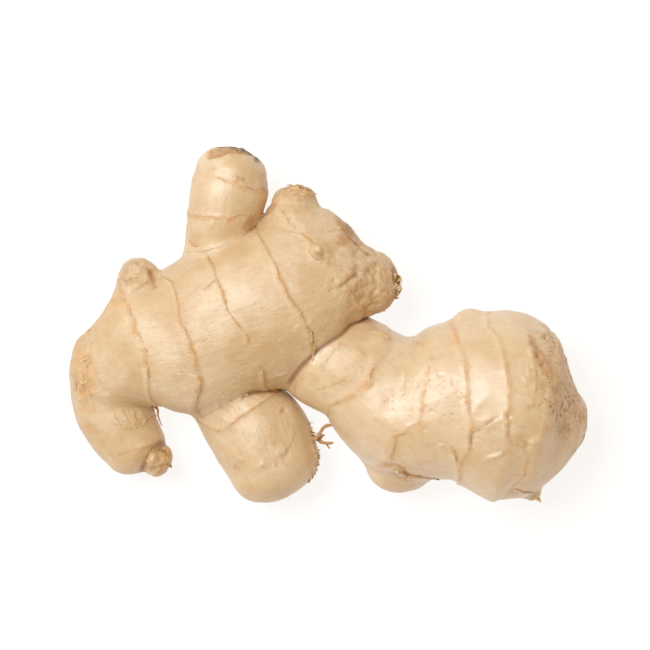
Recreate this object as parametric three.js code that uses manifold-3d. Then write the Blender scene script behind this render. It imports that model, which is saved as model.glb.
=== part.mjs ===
// A fresh ginger rhizome, the "ginger root" of the kitchen, lying on its belly.
//
// Millimetres, +Z up, the surface it lies on at z = 0, origin under the middle of its outline.
// +X runs from the old end, where a finger and a knob branch off, to the fat second hand.
// One piece of plant, so one solid: hands, fingers, knobs, buds and rootlets all grow together.
//
// Every limb is a stack of internodes. A station is one node of the limb: the point where the
// limb's axis passes, half its width across the hand, half its thickness up and down, and the
// ring that the fallen leaf scale left there. A ring is a shingle: the skin rises to its edge and
// drops to the next internode.

import * as THREE from "three";
import { mergeVertices } from "three/addons/utils/BufferGeometryUtils.js";
import Module from "manifold-3d";

// ---- Driving dimensions -----------------------------------------------------------------------

const SHINGLE_RUN = 1.6; // length over which the skin rises to a ring's edge
const SHINGLE_DROP = 0.7; // length of the drop past the edge
const SHINGLE_FOOT = 0.35; // depth of the hollow past the edge, as a share of the ring's rise
const SHINGLE_RECOVERY = 2; // length over which that hollow fades out
const RING_ROWS = [-3, -1, 0, SHINGLE_DROP, 3]; // rows of vertices at a ring, from its edge

const ROW_GAP = 3.8; // widest gap between two rows, from one ring to the next
const CAP_STEPS = 5; // rows on each rounded end of a limb
const LUMP_2 = 0.022; // two-sided unevenness of a limb's section, as a share of its radius
const LUMP_3 = 0.018; // three-sided unevenness

const FOOT_CUT = 20; // depth of the block that planes off what reaches below the surface

// ---- The limbs --------------------------------------------------------------------------------

// node(x, y, z, halfWidth, halfHeight, rise, tilt, lean): one station. Rise is the ring's height,
// 0 for none; tilt slides the ring's two sides apart along the limb, and lean pushes its top on.
const node = (x, y, z, halfWidth, halfHeight, rise = 0, tilt = 0, lean = 0) => ({
  centre: new THREE.Vector3(x, y, z),
  halfWidth,
  halfHeight,
  rise,
  tilt,
  lean,
});

const LIMBS = [
  {
    name: "first hand",
    columns: 34,
    baseCap: 8,
    tipCap: 6,
    phase: 0.4,
    nodes: [
      node(-60.3, -12.2, 15, 10.6, 9.5, 0.5, 0, 0),
      node(-48.5, -6.8, 17.3, 16, 14.6, 0.6, 0, 1),
      node(-37, -3.8, 18, 20, 17.5, 0.7, 0, 1),
      node(-25, 1.7, 18.1, 21.5, 18.5, 0.7, 0, 1),
      node(-10.5, 6.6, 20, 22, 17.8, 0.7, -1, 1),
      node(1.5, 10.8, 21, 17, 15.2, 0.45, -4, 0),
      node(8.5, 11.4, 21, 10.9, 11.8, 0, -2, 0),
      node(13.5, 11.3, 21, 8, 8.5),
    ],
  },
  {
    name: "shoulder knob",
    columns: 16,
    baseCap: 4,
    tipCap: 4.2,
    phase: 2.7,
    nodes: [
      node(-4.5, 19, 20, 13.2, 11),
      node(-7.9, 28.8, 20.5, 9.4, 9),
      node(-8.4, 33.2, 21, 6.2, 5.6),
    ],
  },
  {
    name: "bud on the first hand's last ring",
    columns: 8,
    baseCap: 1,
    tipCap: 1.6,
    phase: 0,
    nodes: [node(-1.5, 18.2, 34, 2.6, 3), node(-2.6, 20.2, 36.2, 1.8, 1.8)],
  },
  {
    name: "old-end knob",
    columns: 14,
    baseCap: 3,
    tipCap: 4.4,
    phase: 0.9,
    nodes: [
      node(-50.6, 4, 18, 7.4, 7),
      node(-50.6, 9.5, 19, 5.8, 6),
      node(-50.4, 13.6, 19.5, 4.9, 5),
    ],
  },
  {
    name: "upper finger",
    columns: 22,
    baseCap: 3,
    tipCap: 6.9,
    phase: 3.3,
    nodes: [
      node(-29.4, 21, 17.5, 8.2, 7),
      node(-28.9, 24.8, 19.6, 8.8, 8.6),
      node(-27.8, 29, 21, 9.6, 9.5, 0.6, 0, 0),
      node(-25.9, 36.5, 22, 10.3, 10.2, 0.4, 0, 0),
      node(-25.2, 41, 22.5, 9.4, 9.5),
    ],
  },
  {
    name: "old-end finger",
    columns: 22,
    baseCap: 6,
    tipCap: 7,
    phase: 4.6,
    nodes: [
      node(-59.8, -13, 14, 10, 9.3),
      node(-59.1, -20.3, 11.5, 10.4, 9.5, 0.6, 3, 0),
      node(-55.9, -27.8, 9.7, 9.7, 9.9, 0.8, 3, 0),
      node(-52, -33.5, 9.8, 8.3, 8.8),
    ],
  },
  {
    name: "bud of the old-end finger",
    columns: 10,
    baseCap: 2,
    tipCap: 2.8,
    phase: 0.2,
    nodes: [node(-48, -35.6, 12, 4.6, 4.8), node(-45, -37.3, 11, 4.1, 4.2, 0.4)],
  },
  {
    name: "thumb",
    columns: 26,
    baseCap: 6,
    tipCap: 9.3,
    phase: 5.4,
    nodes: [
      node(-26.4, -14.4, 15, 10.3, 10),
      node(-23.9, -21.6, 13.8, 11.5, 11.4, 0.8, 3, 0),
      node(-18, -30, 13.2, 13.3, 12.2),
      node(-14, -38.3, 13, 12.6, 11),
    ],
  },
  {
    name: "second hand",
    columns: 36,
    baseCap: 8,
    tipCap: 7.4,
    phase: 2.1,
    nodes: [
      node(-8, -1, 15, 10, 10),
      node(-0.5, -8, 17, 13.8, 13.5, 0.3, 0, 0),
      node(9.2, -13.2, 18.5, 15.2, 15.5, 0.9, 0, 4),
      node(20.4, -22.2, 19, 18.2, 18.3, 0.6, 0, 5),
      node(35, -21.1, 20.5, 21.6, 20.6, 0.7, 0, 3),
      node(47.8, -21.5, 21, 25.3, 21.2, 0.7, -3, 1),
      node(56, -23.2, 20.5, 22.4, 19),
    ],
  },
  {
    name: "end of the second hand",
    columns: 22,
    baseCap: 8,
    tipCap: 10.2,
    phase: 1.2,
    nodes: [node(50, -25, 19, 18, 16), node(56.4, -32, 18.5, 16.8, 13)],
  },
  {
    name: "belly knob",
    columns: 14,
    baseCap: 4,
    tipCap: 7,
    phase: 1.7,
    nodes: [node(20.4, -30.6, 13, 10.2, 9.6), node(20.6, -38.7, 11.5, 9, 8)],
  },
  {
    name: "back knob",
    columns: 12,
    baseCap: 3,
    tipCap: 3,
    phase: 3.9,
    nodes: [node(38.6, -4, 22, 6, 7), node(38.8, 1.2, 23, 3.8, 4.4)],
  },
  {
    name: "corner bud",
    columns: 10,
    baseCap: 3,
    tipCap: 1.2,
    phase: 0,
    nodes: [node(54, -42, 17, 5, 5), node(56.8, -46.2, 17, 2, 2.2)],
  },
];

// Rootlets: thin limbs with no rings, broken off short when the rhizome was lifted and washed.
const ROOTLET_COLUMNS = 6;
const ROOTLETS = [
  [
    [-8, -29, 13, 0.8],
    [-4, -30, 14, 0.7],
    [-1.5, -31.5, 14.5, 0.6],
    [0.5, -32.2, 15, 0.5],
    [2.2, -32, 15.3, 0.4],
  ],
  [
    [-7, -31.5, 15, 0.7],
    [-3, -31, 16, 0.6],
    [-1.5, -29.5, 16.3, 0.55],
    [-0.5, -28, 16.3, 0.5],
    [1, -27.2, 16, 0.45],
    [1.8, -27.4, 16, 0.35],
  ],
  [
    [-48.5, -20.5, 12, 0.6],
    [-46, -23, 12.5, 0.5],
    [-45.2, -25, 12.5, 0.45],
    [-44.5, -27.8, 12, 0.35],
  ],
];
for (const stations of ROOTLETS) {
  LIMBS.push({
    name: "rootlet",
    columns: ROOTLET_COLUMNS,
    baseCap: 0.4,
    tipCap: 0.4,
    phase: 0,
    nodes: stations.map(([x, y, z, radius]) => node(x, y, z, radius, radius)),
  });
}

// ---- The skin of a limb -----------------------------------------------------------------------

// Catmull-Rom through a limb's nodes, at growth coordinate g: node 2 is g = 2. Past either end the
// limb goes straight on.
function along(nodes, read, g) {
  const last = nodes.length - 1;
  const i = Math.min(Math.max(Math.floor(g), 0), last - 1);
  const t = g - i;
  const at = (k) => {
    if (k < 0) return 2 * read(nodes[0]) - read(nodes[1]);
    if (k > last) return 2 * read(nodes[last]) - read(nodes[last - 1]);
    return read(nodes[k]);
  };
  const [a, b, c, d] = [at(i - 1), at(i), at(i + 1), at(i + 2)];
  return b + 0.5 * t * (c - a + t * (2 * a - 5 * b + 4 * c - d + t * (3 * (b - c) + d - a)));
}

const centreAt = (nodes, g) =>
  new THREE.Vector3(
    along(nodes, (n) => n.centre.x, g),
    along(nodes, (n) => n.centre.y, g),
    along(nodes, (n) => n.centre.z, g),
  );

// Distance of each node from the first, along the straight lines between them.
function reachOf(nodes) {
  const reach = [0];
  for (let i = 1; i < nodes.length; i++) {
    reach.push(reach[i - 1] + nodes[i].centre.distanceTo(nodes[i - 1].centre));
  }
  return reach;
}

// Growth coordinate at a distance from the first node, also a little past either end.
function growthAt(reach, distance) {
  const after = reach.findIndex((r) => r >= distance);
  const i = after < 0 ? reach.length - 2 : Math.max(after - 1, 0);
  return i + (distance - reach[i]) / (reach[i + 1] - reach[i]);
}

// Height of the skin over the plain limb, at a distance past the edge of a ring.
function shingle(rise, past) {
  if (past <= 0) return rise * Math.exp(past / SHINGLE_RUN);
  if (past < SHINGLE_DROP) return rise * (1 - ((1 + SHINGLE_FOOT) * past) / SHINGLE_DROP);
  return -SHINGLE_FOOT * rise * Math.exp((SHINGLE_DROP - past) / SHINGLE_RECOVERY);
}

// Uneven roundness of a limb's section, around 1.
const lumps = (g, angle, phase) =>
  1 +
  LUMP_2 * Math.sin(2 * angle + 1.3 * g + phase) +
  LUMP_3 * Math.sin(3 * angle - 0.9 * g + 2 * phase);

// Rows of vertices from a limb's base to its tip: each one's distance along the limb and, on the
// rounded ends, how far round the end it is.
function rowsOf(nodes, reach) {
  const tip = reach.at(-1);
  const stops = new Set();
  reach.forEach((r, i) => {
    const offsets = nodes[i].rise ? RING_ROWS : [0];
    offsets.map((o) => r + o).filter((d) => d >= 0 && d <= tip).forEach((d) => stops.add(d));
  });
  const body = [...stops].sort((a, b) => a - b);
  const filled = body.flatMap((d, i) => {
    const gap = (body[i + 1] ?? d) - d;
    const extra = Math.floor(gap / ROW_GAP);
    return [d, ...Array.from({ length: extra }, (_, k) => d + (gap * (k + 1)) / (extra + 1))];
  });
  const cap = (distance, sign) =>
    Array.from({ length: CAP_STEPS }, (_, k) => ({
      distance,
      turn: (sign * (k + 1) * Math.PI) / 2 / CAP_STEPS,
    }));
  const rows = filled.map((distance) => ({ distance, turn: 0 }));
  return [...cap(0, -1).reverse(), ...rows, ...cap(tip, 1)];
}

// The closed skin of one limb: a sphere whose rows of latitude are moved out to the limb's rows.
function limbGeometry({ nodes, columns, baseCap, tipCap, phase }) {
  const reach = reachOf(nodes);
  const rows = rowsOf(nodes, reach);
  const geometry = new THREE.SphereGeometry(1, columns, rows.length - 1);
  const position = geometry.getAttribute("position");
  for (let i = 0; i < position.count; i++) {
    const { distance, turn } = rows[Math.floor(i / (columns + 1))];
    const angle = (-2 * Math.PI * (i % (columns + 1))) / columns;
    // A ring that tilts or leans takes the rows about it along, less and less towards the next.
    const level = growthAt(reach, distance);
    const slide =
      along(nodes, (n) => n.tilt, level) * Math.cos(angle) +
      along(nodes, (n) => n.lean, level) * Math.sin(angle);
    const g = growthAt(reach, distance + slide);
    const forward = centreAt(nodes, g + 0.05).sub(centreAt(nodes, g - 0.05)).normalize();
    const side = new THREE.Vector3(0, 0, 1).cross(forward).normalize();
    const up = forward.clone().cross(side);
    const relief = nodes.reduce(
      (sum, n, k) => sum + (n.rise ? shingle(n.rise, distance - reach[k]) : 0),
      0,
    );
    const swell = lumps(g, angle, phase);
    const around = Math.cos(turn);
    const across = (along(nodes, (n) => n.halfWidth, g) * swell + relief) * around;
    const upright = (along(nodes, (n) => n.halfHeight, g) * swell + relief) * around;
    const out = (turn < 0 ? baseCap : tipCap) * Math.sin(turn);
    const point = centreAt(nodes, g)
      .addScaledVector(forward, out)
      .addScaledVector(side, across * Math.cos(angle))
      .addScaledVector(up, upright * Math.sin(angle));
    position.setXYZ(i, point.x, point.y, point.z);
  }
  return geometry;
}

// ---- Joining ----------------------------------------------------------------------------------

const wasm = await Module();
wasm.setup();

// A closed geometry as a manifold-3d solid, with its shared vertices merged.
function solidOf(geometry) {
  const bare = new THREE.BufferGeometry()
    .setAttribute("position", geometry.getAttribute("position"))
    .setIndex(geometry.index);
  const merged = mergeVertices(bare, 1e-3);
  const corners = merged.index.array;
  const triVerts = [];
  for (let i = 0; i < corners.length; i += 3) {
    const [a, b, c] = corners.slice(i, i + 3);
    if (a !== b && b !== c && c !== a) triVerts.push(a, b, c);
  }
  return new wasm.Manifold(
    new wasm.Mesh({
      numProp: 3,
      vertProperties: merged.getAttribute("position").array,
      triVerts: new Uint32Array(triVerts),
    }),
  );
}

function geometryOf(solid) {
  const { vertProperties, triVerts } = solid.getMesh();
  const geometry = new THREE.BufferGeometry()
    .setAttribute("position", new THREE.BufferAttribute(vertProperties, 3))
    .setIndex(new THREE.BufferAttribute(triVerts, 1));
  geometry.computeVertexNormals();
  return geometry;
}

let rhizome = LIMBS.map((limb) => solidOf(limbGeometry(limb))).reduce((a, b) => a.add(b));
const underTheSurface = new THREE.BoxGeometry(200, 200, FOOT_CUT).translate(0, 0, -FOOT_CUT / 2);
rhizome = rhizome.subtract(solidOf(underTheSurface));

// ---- The part ---------------------------------------------------------------------------------

const skin = new THREE.MeshStandardMaterial({ color: 0xe2c49a, roughness: 0.55, metalness: 0 });
const rhizomeMesh = new THREE.Mesh(geometryOf(rhizome), skin);
rhizomeMesh.name = "rhizome";

const part = new THREE.Group();
part.name = "ginger_root";
part.add(rhizomeMesh);

export default part;
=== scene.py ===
"""A fresh ginger rhizome on a pale floor, seen from straight above.

The limbs are the same stacks of internodes as in the CAD part, lofted finer. Their distance fields
are melted into one skin, which then gets its rings, folds, flakes and pits by moving its vertices.
Lengths are in millimetres, as in the CAD part, until a mesh is made: Blender's unit is the metre.
"""

import math

import bpy
import numpy as np
import openvdb
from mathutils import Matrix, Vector
from mathutils.bvhtree import BVHTree


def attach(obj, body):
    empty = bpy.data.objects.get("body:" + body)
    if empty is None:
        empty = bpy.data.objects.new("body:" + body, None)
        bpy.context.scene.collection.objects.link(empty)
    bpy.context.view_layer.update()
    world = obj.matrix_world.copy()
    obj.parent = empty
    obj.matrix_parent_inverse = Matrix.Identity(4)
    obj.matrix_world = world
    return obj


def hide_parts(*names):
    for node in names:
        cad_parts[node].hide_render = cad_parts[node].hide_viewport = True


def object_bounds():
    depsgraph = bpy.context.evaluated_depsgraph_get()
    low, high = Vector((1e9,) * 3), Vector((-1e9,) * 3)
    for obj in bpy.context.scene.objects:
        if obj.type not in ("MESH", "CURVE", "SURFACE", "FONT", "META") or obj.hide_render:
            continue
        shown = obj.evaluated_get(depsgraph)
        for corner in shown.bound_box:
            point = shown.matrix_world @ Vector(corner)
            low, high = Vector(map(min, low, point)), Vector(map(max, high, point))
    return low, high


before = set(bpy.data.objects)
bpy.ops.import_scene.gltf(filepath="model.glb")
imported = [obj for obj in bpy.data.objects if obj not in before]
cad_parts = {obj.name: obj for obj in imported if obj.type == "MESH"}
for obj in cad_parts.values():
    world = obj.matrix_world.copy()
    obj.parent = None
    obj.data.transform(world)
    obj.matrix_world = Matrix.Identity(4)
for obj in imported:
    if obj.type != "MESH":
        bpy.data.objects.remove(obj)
cad_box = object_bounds()

MM = 0.001
VOXEL = 0.4  # size of a cell of the distance field
BAND = 14  # cells that the distance field reaches to each side of the skin
FACE_LIMIT = 196000  # triangles of the finished skin
SEED = 11

# ---- The limbs --------------------------------------------------------------------------------
#
# A node is x, y, z, half width, half height, ring rise, tilt and lean, as in the CAD part. The last
# three are left out where they are zero.
# merge: width over which a limb's skin flows into what it grows from; two widths are for the two
# ends of merge_span along X. Wax: 0 for dry matt skin, 1 for waxy skin.

LIMBS = {
    "first_hand": dict(
        caps=(8, 6), phase=0.4, merge=0, wax=0.1,
        nodes=[
            (-60.3, -12.2, 15, 10.6, 9.5, 0.3, 0, 0),
            (-48.5, -6.8, 17.3, 16, 14.6, 0.34, 0, 1),
            (-37, -3.8, 18, 20, 17.5, 0.4, 0, 1),
            (-25, 1.7, 18.1, 21.5, 18.5, 0.4, 0, 1),
            (-10.5, 6.6, 20, 22, 17.8, 0.45, -1, 1),
            (1.5, 10.8, 21, 17, 15.2, 0.3, -4, 0),
            (8.5, 11.4, 21, 10.9, 11.8, 0, -2, 0),
            (13.5, 11.3, 21, 8, 8.5),
        ],
    ),
    "second_hand": dict(
        caps=(8, 7.4), phase=2.1, merge=(2.4, 0.5), merge_span=(-10.5, -6.5), wax=1,
        nodes=[
            (-8, -1, 15, 10, 10),
            (-0.5, -8, 17, 13.8, 13.5, 0.2, 0, 0),
            (9.2, -13.2, 18.5, 15.2, 15.5, 0.45, 0, 4),
            (20.4, -22.2, 19, 18.2, 18.3, 0.25, 0, 5),
            (35, -21.1, 20.5, 21.6, 20.6, 0.25, 0, 3),
            (47.8, -21.5, 21, 25.3, 21.2, 0.25, -3, 1),
            (56, -23.2, 20.5, 22.4, 19),
        ],
    ),
    "shoulder_knob": dict(
        caps=(4, 4.2), phase=2.7, merge=4.2, wax=0,
        nodes=[
            (-4.5, 19, 20, 13.2, 11),
            (-7.9, 28.8, 20.5, 9.4, 9),
            (-8.4, 33.2, 21, 6.2, 5.6),
        ],
    ),
    "ring_bud": dict(
        caps=(1, 1.2), phase=0, merge=2.8, wax=0,
        nodes=[(-1.3, 18.6, 33, 2, 2.4), (-2, 19.8, 34.9, 1.2, 1.4)],
    ),
    "old_end_knob": dict(
        caps=(3, 4.4), phase=0.9, merge=3.2, wax=0,
        nodes=[
            (-50.6, 4, 18, 7.4, 7),
            (-50.6, 9.5, 19, 5.8, 6),
            (-50.4, 13.6, 19.5, 4.9, 5),
        ],
    ),
    "upper_finger": dict(
        caps=(3, 6.9), phase=3.3, merge=(5, 1), merge_span=(-30, -19), wax=0.55,
        nodes=[
            (-29.4, 21, 17.5, 8.2, 7),
            (-28.9, 24.8, 19.6, 8.8, 8.6),
            (-27.8, 29, 21, 9.6, 9.5, 0.4, 0, 0),
            (-25.9, 36.5, 22, 10.3, 10.2, 0.2, 0, 0),
            (-25.2, 41, 22.5, 9.4, 9.5),
        ],
    ),
    "old_end_finger": dict(
        caps=(6, 7), phase=4.6, merge=2.5, wax=0.35,
        nodes=[
            (-59.8, -13, 14, 10, 9.3),
            (-59.1, -20.3, 11.5, 10.4, 9.5, 0.12, 3, 0),
            (-55.9, -27.8, 9.7, 9.7, 9.9, 0.3, 3, 0),
            (-52, -33.5, 9.8, 8.3, 8.8),
        ],
    ),
    "finger_bud": dict(
        caps=(2, 2.8), phase=0.2, merge=0.8, wax=0.6,
        nodes=[
            (-48, -35.6, 12, 4.6, 4.8),
            (-45, -37.3, 11, 4.1, 4.2, 0.2, 0, 0),
        ],
    ),
    "thumb": dict(
        caps=(6, 9.3), phase=5.4, merge=(5, 0.8), merge_span=(-33, -20), wax=0.6,
        nodes=[
            (-26.4, -14.4, 15, 10.3, 10),
            (-23.9, -21.6, 13.8, 11.5, 11.4, 0.22, 3, 0),
            (-18, -30, 13.2, 13.3, 12.2),
            (-14, -38.3, 13, 12.6, 11),
        ],
    ),
    "second_hand_end": dict(
        caps=(8, 10.2), phase=1.2, merge=6, wax=0.7,
        nodes=[(50, -25, 19, 18, 16), (56.4, -32, 18.5, 16.8, 13)],
    ),
    "belly_knob": dict(
        caps=(4, 7), phase=1.7, merge=4, wax=0.7,
        nodes=[(20.4, -30.6, 13, 10.2, 9.6), (20.6, -38.7, 11.5, 9, 8)],
    ),
    "back_knob": dict(
        caps=(3, 3), phase=3.9, merge=3, wax=0.8,
        nodes=[(38.6, -4, 22, 6, 7), (38.8, 1.2, 23, 3.8, 4.4)],
    ),
    "corner_bud": dict(
        caps=(3, 1.2), phase=0, merge=2, wax=0.5,
        nodes=[(54, -42, 17, 5, 5), (56.8, -46.2, 17, 2, 2.2)],
    ),
}
# Places where the skin is evened out: middle, radius and how often it is blurred.
FOLDS = [((22, -8, 30), 12, 40), ((22, -2.6, 20), 10, 50), ((52, -3, 26), 8, 20)]
UNEVEN_2 = 0.022  # two-sided unevenness of a limb's section, as a share of its radius
UNEVEN_3 = 0.018  # three-sided unevenness

# Where a ring's edge runs on the upper side, seen from above. Underneath, it runs straight round.
RING_COURSES = {
    ("first_hand", 0): [(-62.7, -3), (-63.1, -7.9), (-64.1, -13.7), (-66, -17.8)],
    ("first_hand", 1): [
        (-55, 6.9), (-52.7, 5), (-51.1, 1.5), (-50.4, -1.5), (-48.9, -3.8), (-47.3, -7.2),
        (-46.8, -13.7), (-47, -19.4),
    ],
    ("first_hand", 2): [
        (-43.6, 12.9), (-40.5, 11.1), (-39.3, 7.3), (-38.6, 2.7), (-37.1, -1.5), (-35.9, -5.7),
        (-34.8, -7.9), (-34.2, -11.4), (-32.9, -14.4), (-33.7, -18.6), (-35.6, -22),
    ],
    ("first_hand", 3): [
        (-35.5, 22), (-33.7, 21.3), (-31.4, 18.7), (-29.6, 14.8), (-28.4, 11.7), (-27, 8.5),
        (-25.5, 4), (-23.3, 0.7), (-21.2, -2.4), (-20.3, -4.5), (-16.5, -12.8), (-15.7, -17),
    ],
    ("first_hand", 4): [
        (-18.9, 26.2), (-16.5, 22.1), (-13, 15.9), (-11.3, 11.4), (-9.5, 6.9), (-6.4, 2.7),
        (-4.4, -0.9), (-3.9, -1.7), (-3.7, -4.5), (-2.9, -5.6), (-3.4, -8), (-3.2, -10),
    ],
    ("first_hand", 5): [
        (-7.8, 25.9), (-5, 23.5), (-3.7, 22.1), (-1, 19), (3, 14), (6.4, 9.3), (8.4, 6.5),
        (10.2, 4),
    ],
    ("upper_finger", 2): [(-36, 29.5), (-33.7, 29), (-28.6, 29), (-18.9, 29.3)],
    ("upper_finger", 3): [(-35.5, 40.2), (-33.7, 40.4), (-29.2, 39), (-22.3, 36.6), (-16.5, 36.3)],
    ("old_end_finger", 1): [(-67.9, -19), (-62, -19.3), (-57.6, -19.4)],
    ("old_end_finger", 2): [
        (-64.2, -27.2), (-62.8, -28.8), (-59.5, -28.8), (-56.2, -26.6), (-54, -27.5), (-52.9, -27.5),
        (-49.8, -27.2), (-48.7, -25.8),
    ],
    ("thumb", 1): [(-28.2, -28.8), (-25.5, -27), (-21.8, -24.1), (-18.5, -22), (-14.4, -19.1)],
    ("second_hand", 2): [
        (17.1, -1), (16.4, -5), (15, -7.3), (13.6, -10.5), (11.8, -14.3), (9, -17.5), (5.7, -19.9),
        (1.5, -21.3),
    ],
    ("second_hand", 3): [
        (22.5, -3.4), (24.3, -4.5), (26.7, -6.3), (27.6, -9.6), (26.9, -14.3), (26.2, -18),
        (25.8, -22), (24.1, -25.7), (22.1, -26.5), (20.8, -28.6), (18.5, -29.4), (17.3, -35.2),
    ],
    ("second_hand", 4): [
        (33.7, 0), (35.1, -3.6), (36, -6.8), (36.5, -9.6), (37.2, -14.3), (37.4, -21.1),
        (38.5, -26.1), (38, -30.7), (38.2, -32.8), (36.2, -36.1), (35.6, -39.4),
    ],
    ("second_hand", 5): [
        (43.5, 2), (43.7, -0.3), (45.8, -3.1), (47, -7.3), (47.7, -12.4), (49.1, -17.1),
        (48.8, -21.7), (47.8, -24), (48.6, -29.4), (51.9, -32.8), (53.2, -34.8), (53.2, -39.8),
        (49.5, -43.5),
    ],
}

# ---- Numbers from noise -----------------------------------------------------------------------


def hashed(cells, seed):
    """A number from 0 to 1 for each cell of whole coordinates."""
    a = cells.astype(np.int64)
    mixed = a[:, 0] * 374761393 + a[:, 1] * 668265263 + a[:, 2] * 2147483647 + seed * 1274126177
    mixed = (mixed ^ (mixed >> 13)) * 1274126177 & 0x7FFFFFFF
    return ((mixed ^ (mixed >> 16)) & 0xFFFF) / 65535.0


def noise(points, scale, seed=0):
    """Smooth noise from -1 to 1 at each point, with lumps about one scale wide."""
    p = np.asarray(points, float) / np.asarray(scale, float)
    cell = np.floor(p)
    t = p - cell
    t = t * t * (3 - 2 * t)
    total = np.zeros(len(p))
    for corner in np.ndindex(2, 2, 2):
        weight = np.prod(np.where(corner, t, 1 - t), axis=1)
        total += weight * hashed(cell + corner, seed + SEED)
    return 2 * total - 1


def layered(points, scale, octaves, seed=0):
    """Noise with finer and weaker layers added, still about -1 to 1."""
    total = sum(noise(points, np.asarray(scale) / 2**k, seed + k) / 2**k for k in range(octaves))
    return total / (2 - 2 ** (1 - octaves))


def smoothstep(low, high, value):
    """0 up to low and 1 from high on, with a smooth rise between them; low may be the higher."""
    t = np.clip((value - low) / (high - low), 0, 1)
    return t * t * (3 - 2 * t)


# ---- A limb's loft ----------------------------------------------------------------------------

LOFT_STEP = 0.9  # length between two rows of a loft
LOFT_CAP_ROWS = 12
LOFT_COLUMNS = 84
LOOK_AHEAD = 0.05  # growth coordinate to each side that a limb's direction is taken over


def along(nodes, g):
    """Catmull-Rom through the nodes at growth coordinates g, and straight on past the ends."""
    count = len(nodes)
    padded = np.vstack([2 * nodes[0] - nodes[1], nodes, 2 * nodes[-1] - nodes[-2]])
    i = np.clip(np.floor(g).astype(int), 0, count - 2)
    t = (g - i)[:, None]
    a, b, c, d = (padded[i + k] for k in range(4))
    return b + 0.5 * t * (c - a + t * (2 * a - 5 * b + 4 * c - d + t * (3 * (b - c) + d - a)))


def growth_at(reach, distance):
    """Growth coordinate at a distance from the first node, also a little past either end."""
    i = np.clip(np.searchsorted(reach, distance) - 1, 0, len(reach) - 2)
    return i + (distance - reach[i]) / (reach[i + 1] - reach[i])


def limb_nodes(limb):
    """A limb's nodes, each with all eight of its numbers."""
    return np.array([node + (0,) * (8 - len(node)) for node in limb["nodes"]], float)


def distances(points):
    """Distance along a line of points from the first to each."""
    steps = np.linalg.norm(np.diff(points, axis=0), axis=1)
    return np.concatenate([[0], np.cumsum(steps)])


def limb_reach(limb):
    """Distance along a limb to each of its nodes."""
    return distances(limb_nodes(limb)[:, :3])


def loft(limb):
    """The plain skin of a limb: points, triangles and for each point its own coordinates.

    They are the distance along the limb that its rings go by, the angle round it, and its place in
    the limb laid out straight, which the grain of the skin follows.
    """
    nodes = limb_nodes(limb)
    reach = limb_reach(limb)
    tip = reach[-1]
    turns = np.linspace(0, math.pi / 2, LOFT_CAP_ROWS + 1)[1:]
    body = np.linspace(0, tip, max(int(tip / LOFT_STEP), 4) + 1)
    distance = np.concatenate([np.zeros(LOFT_CAP_ROWS), body, np.full(LOFT_CAP_ROWS, tip)])
    turn = np.concatenate([-turns[::-1], np.zeros(len(body)), turns])
    angle = np.linspace(0, 2 * math.pi, LOFT_COLUMNS, endpoint=False)
    rows = len(distance)
    distance = np.repeat(distance, LOFT_COLUMNS)
    turn = np.repeat(turn, LOFT_COLUMNS)
    angle = np.tile(angle, rows)

    level = along(nodes, growth_at(reach, distance))
    slide = level[:, 6] * np.cos(angle) + level[:, 7] * np.sin(angle)
    g = growth_at(reach, distance + slide)
    here = along(nodes, g)
    forward = along(nodes, g + LOOK_AHEAD)[:, :3] - along(nodes, g - LOOK_AHEAD)[:, :3]
    forward /= np.linalg.norm(forward, axis=1)[:, None]
    side = np.cross([0, 0, 1], forward)
    side /= np.linalg.norm(side, axis=1)[:, None]
    up = np.cross(forward, side)
    swell = (
        1
        + UNEVEN_2 * np.sin(2 * angle + 1.3 * g + limb["phase"])
        + UNEVEN_3 * np.sin(3 * angle - 0.9 * g + 2 * limb["phase"])
    )
    across = here[:, 3] * swell * np.cos(turn) * np.cos(angle)
    upright = here[:, 4] * swell * np.cos(turn) * np.sin(angle)
    out = np.where(turn < 0, limb["caps"][0], limb["caps"][1]) * np.sin(turn)
    points = here[:, :3] + forward * out[:, None] + side * across[:, None] + up * upright[:, None]

    index = np.arange(rows * LOFT_COLUMNS).reshape(rows, LOFT_COLUMNS)
    a, b = index[:-1], index[1:]
    c, d = np.roll(b, -1, axis=1), np.roll(a, -1, axis=1)
    triangles = np.concatenate([np.stack(half, -1).reshape(-1, 3) for half in ((a, d, c), (a, c, b))])
    own = np.stack(
        [distance + out, np.cos(angle), np.sin(angle), distance + slide + out, across, upright], 1
    )
    return points, triangles, own


# ---- Objects ----------------------------------------------------------------------------------


def added(name, data):
    """A new object in the scene."""
    thing = bpy.data.objects.new(name, data)
    bpy.context.scene.collection.objects.link(thing)
    return thing


def mesh_in_box(name, points, faces):
    """A new object from points in millimetres, held inside the CAD part's box."""
    mesh = bpy.data.meshes.new(name)
    inside = np.clip(points, *(np.array(cad_box) / MM))
    mesh.from_pydata((inside * MM).tolist(), [], faces)
    return added(name, mesh)


def mesh_arrays(mesh):
    """A mesh's points in millimetres, and its normals there."""
    points = np.empty(len(mesh.vertices) * 3, np.float32)
    normals = np.empty(len(mesh.vertices) * 3, np.float32)
    mesh.vertices.foreach_get("co", points)
    mesh.vertex_normals.foreach_get("vector", normals)
    return points.reshape(-1, 3).astype(float) / MM, normals.reshape(-1, 3).astype(float)


# ---- One skin over all the limbs --------------------------------------------------------------

GRID_LOW = np.array([-76.0, -54.0, -4.0])
GRID_HIGH = np.array([76.0, 54.0, 48.0])
GRID_SHAPE = tuple(np.round((GRID_HIGH - GRID_LOW) / VOXEL).astype(int))
GRID_START = tuple(int(round(v / VOXEL)) for v in GRID_LOW)


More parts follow.
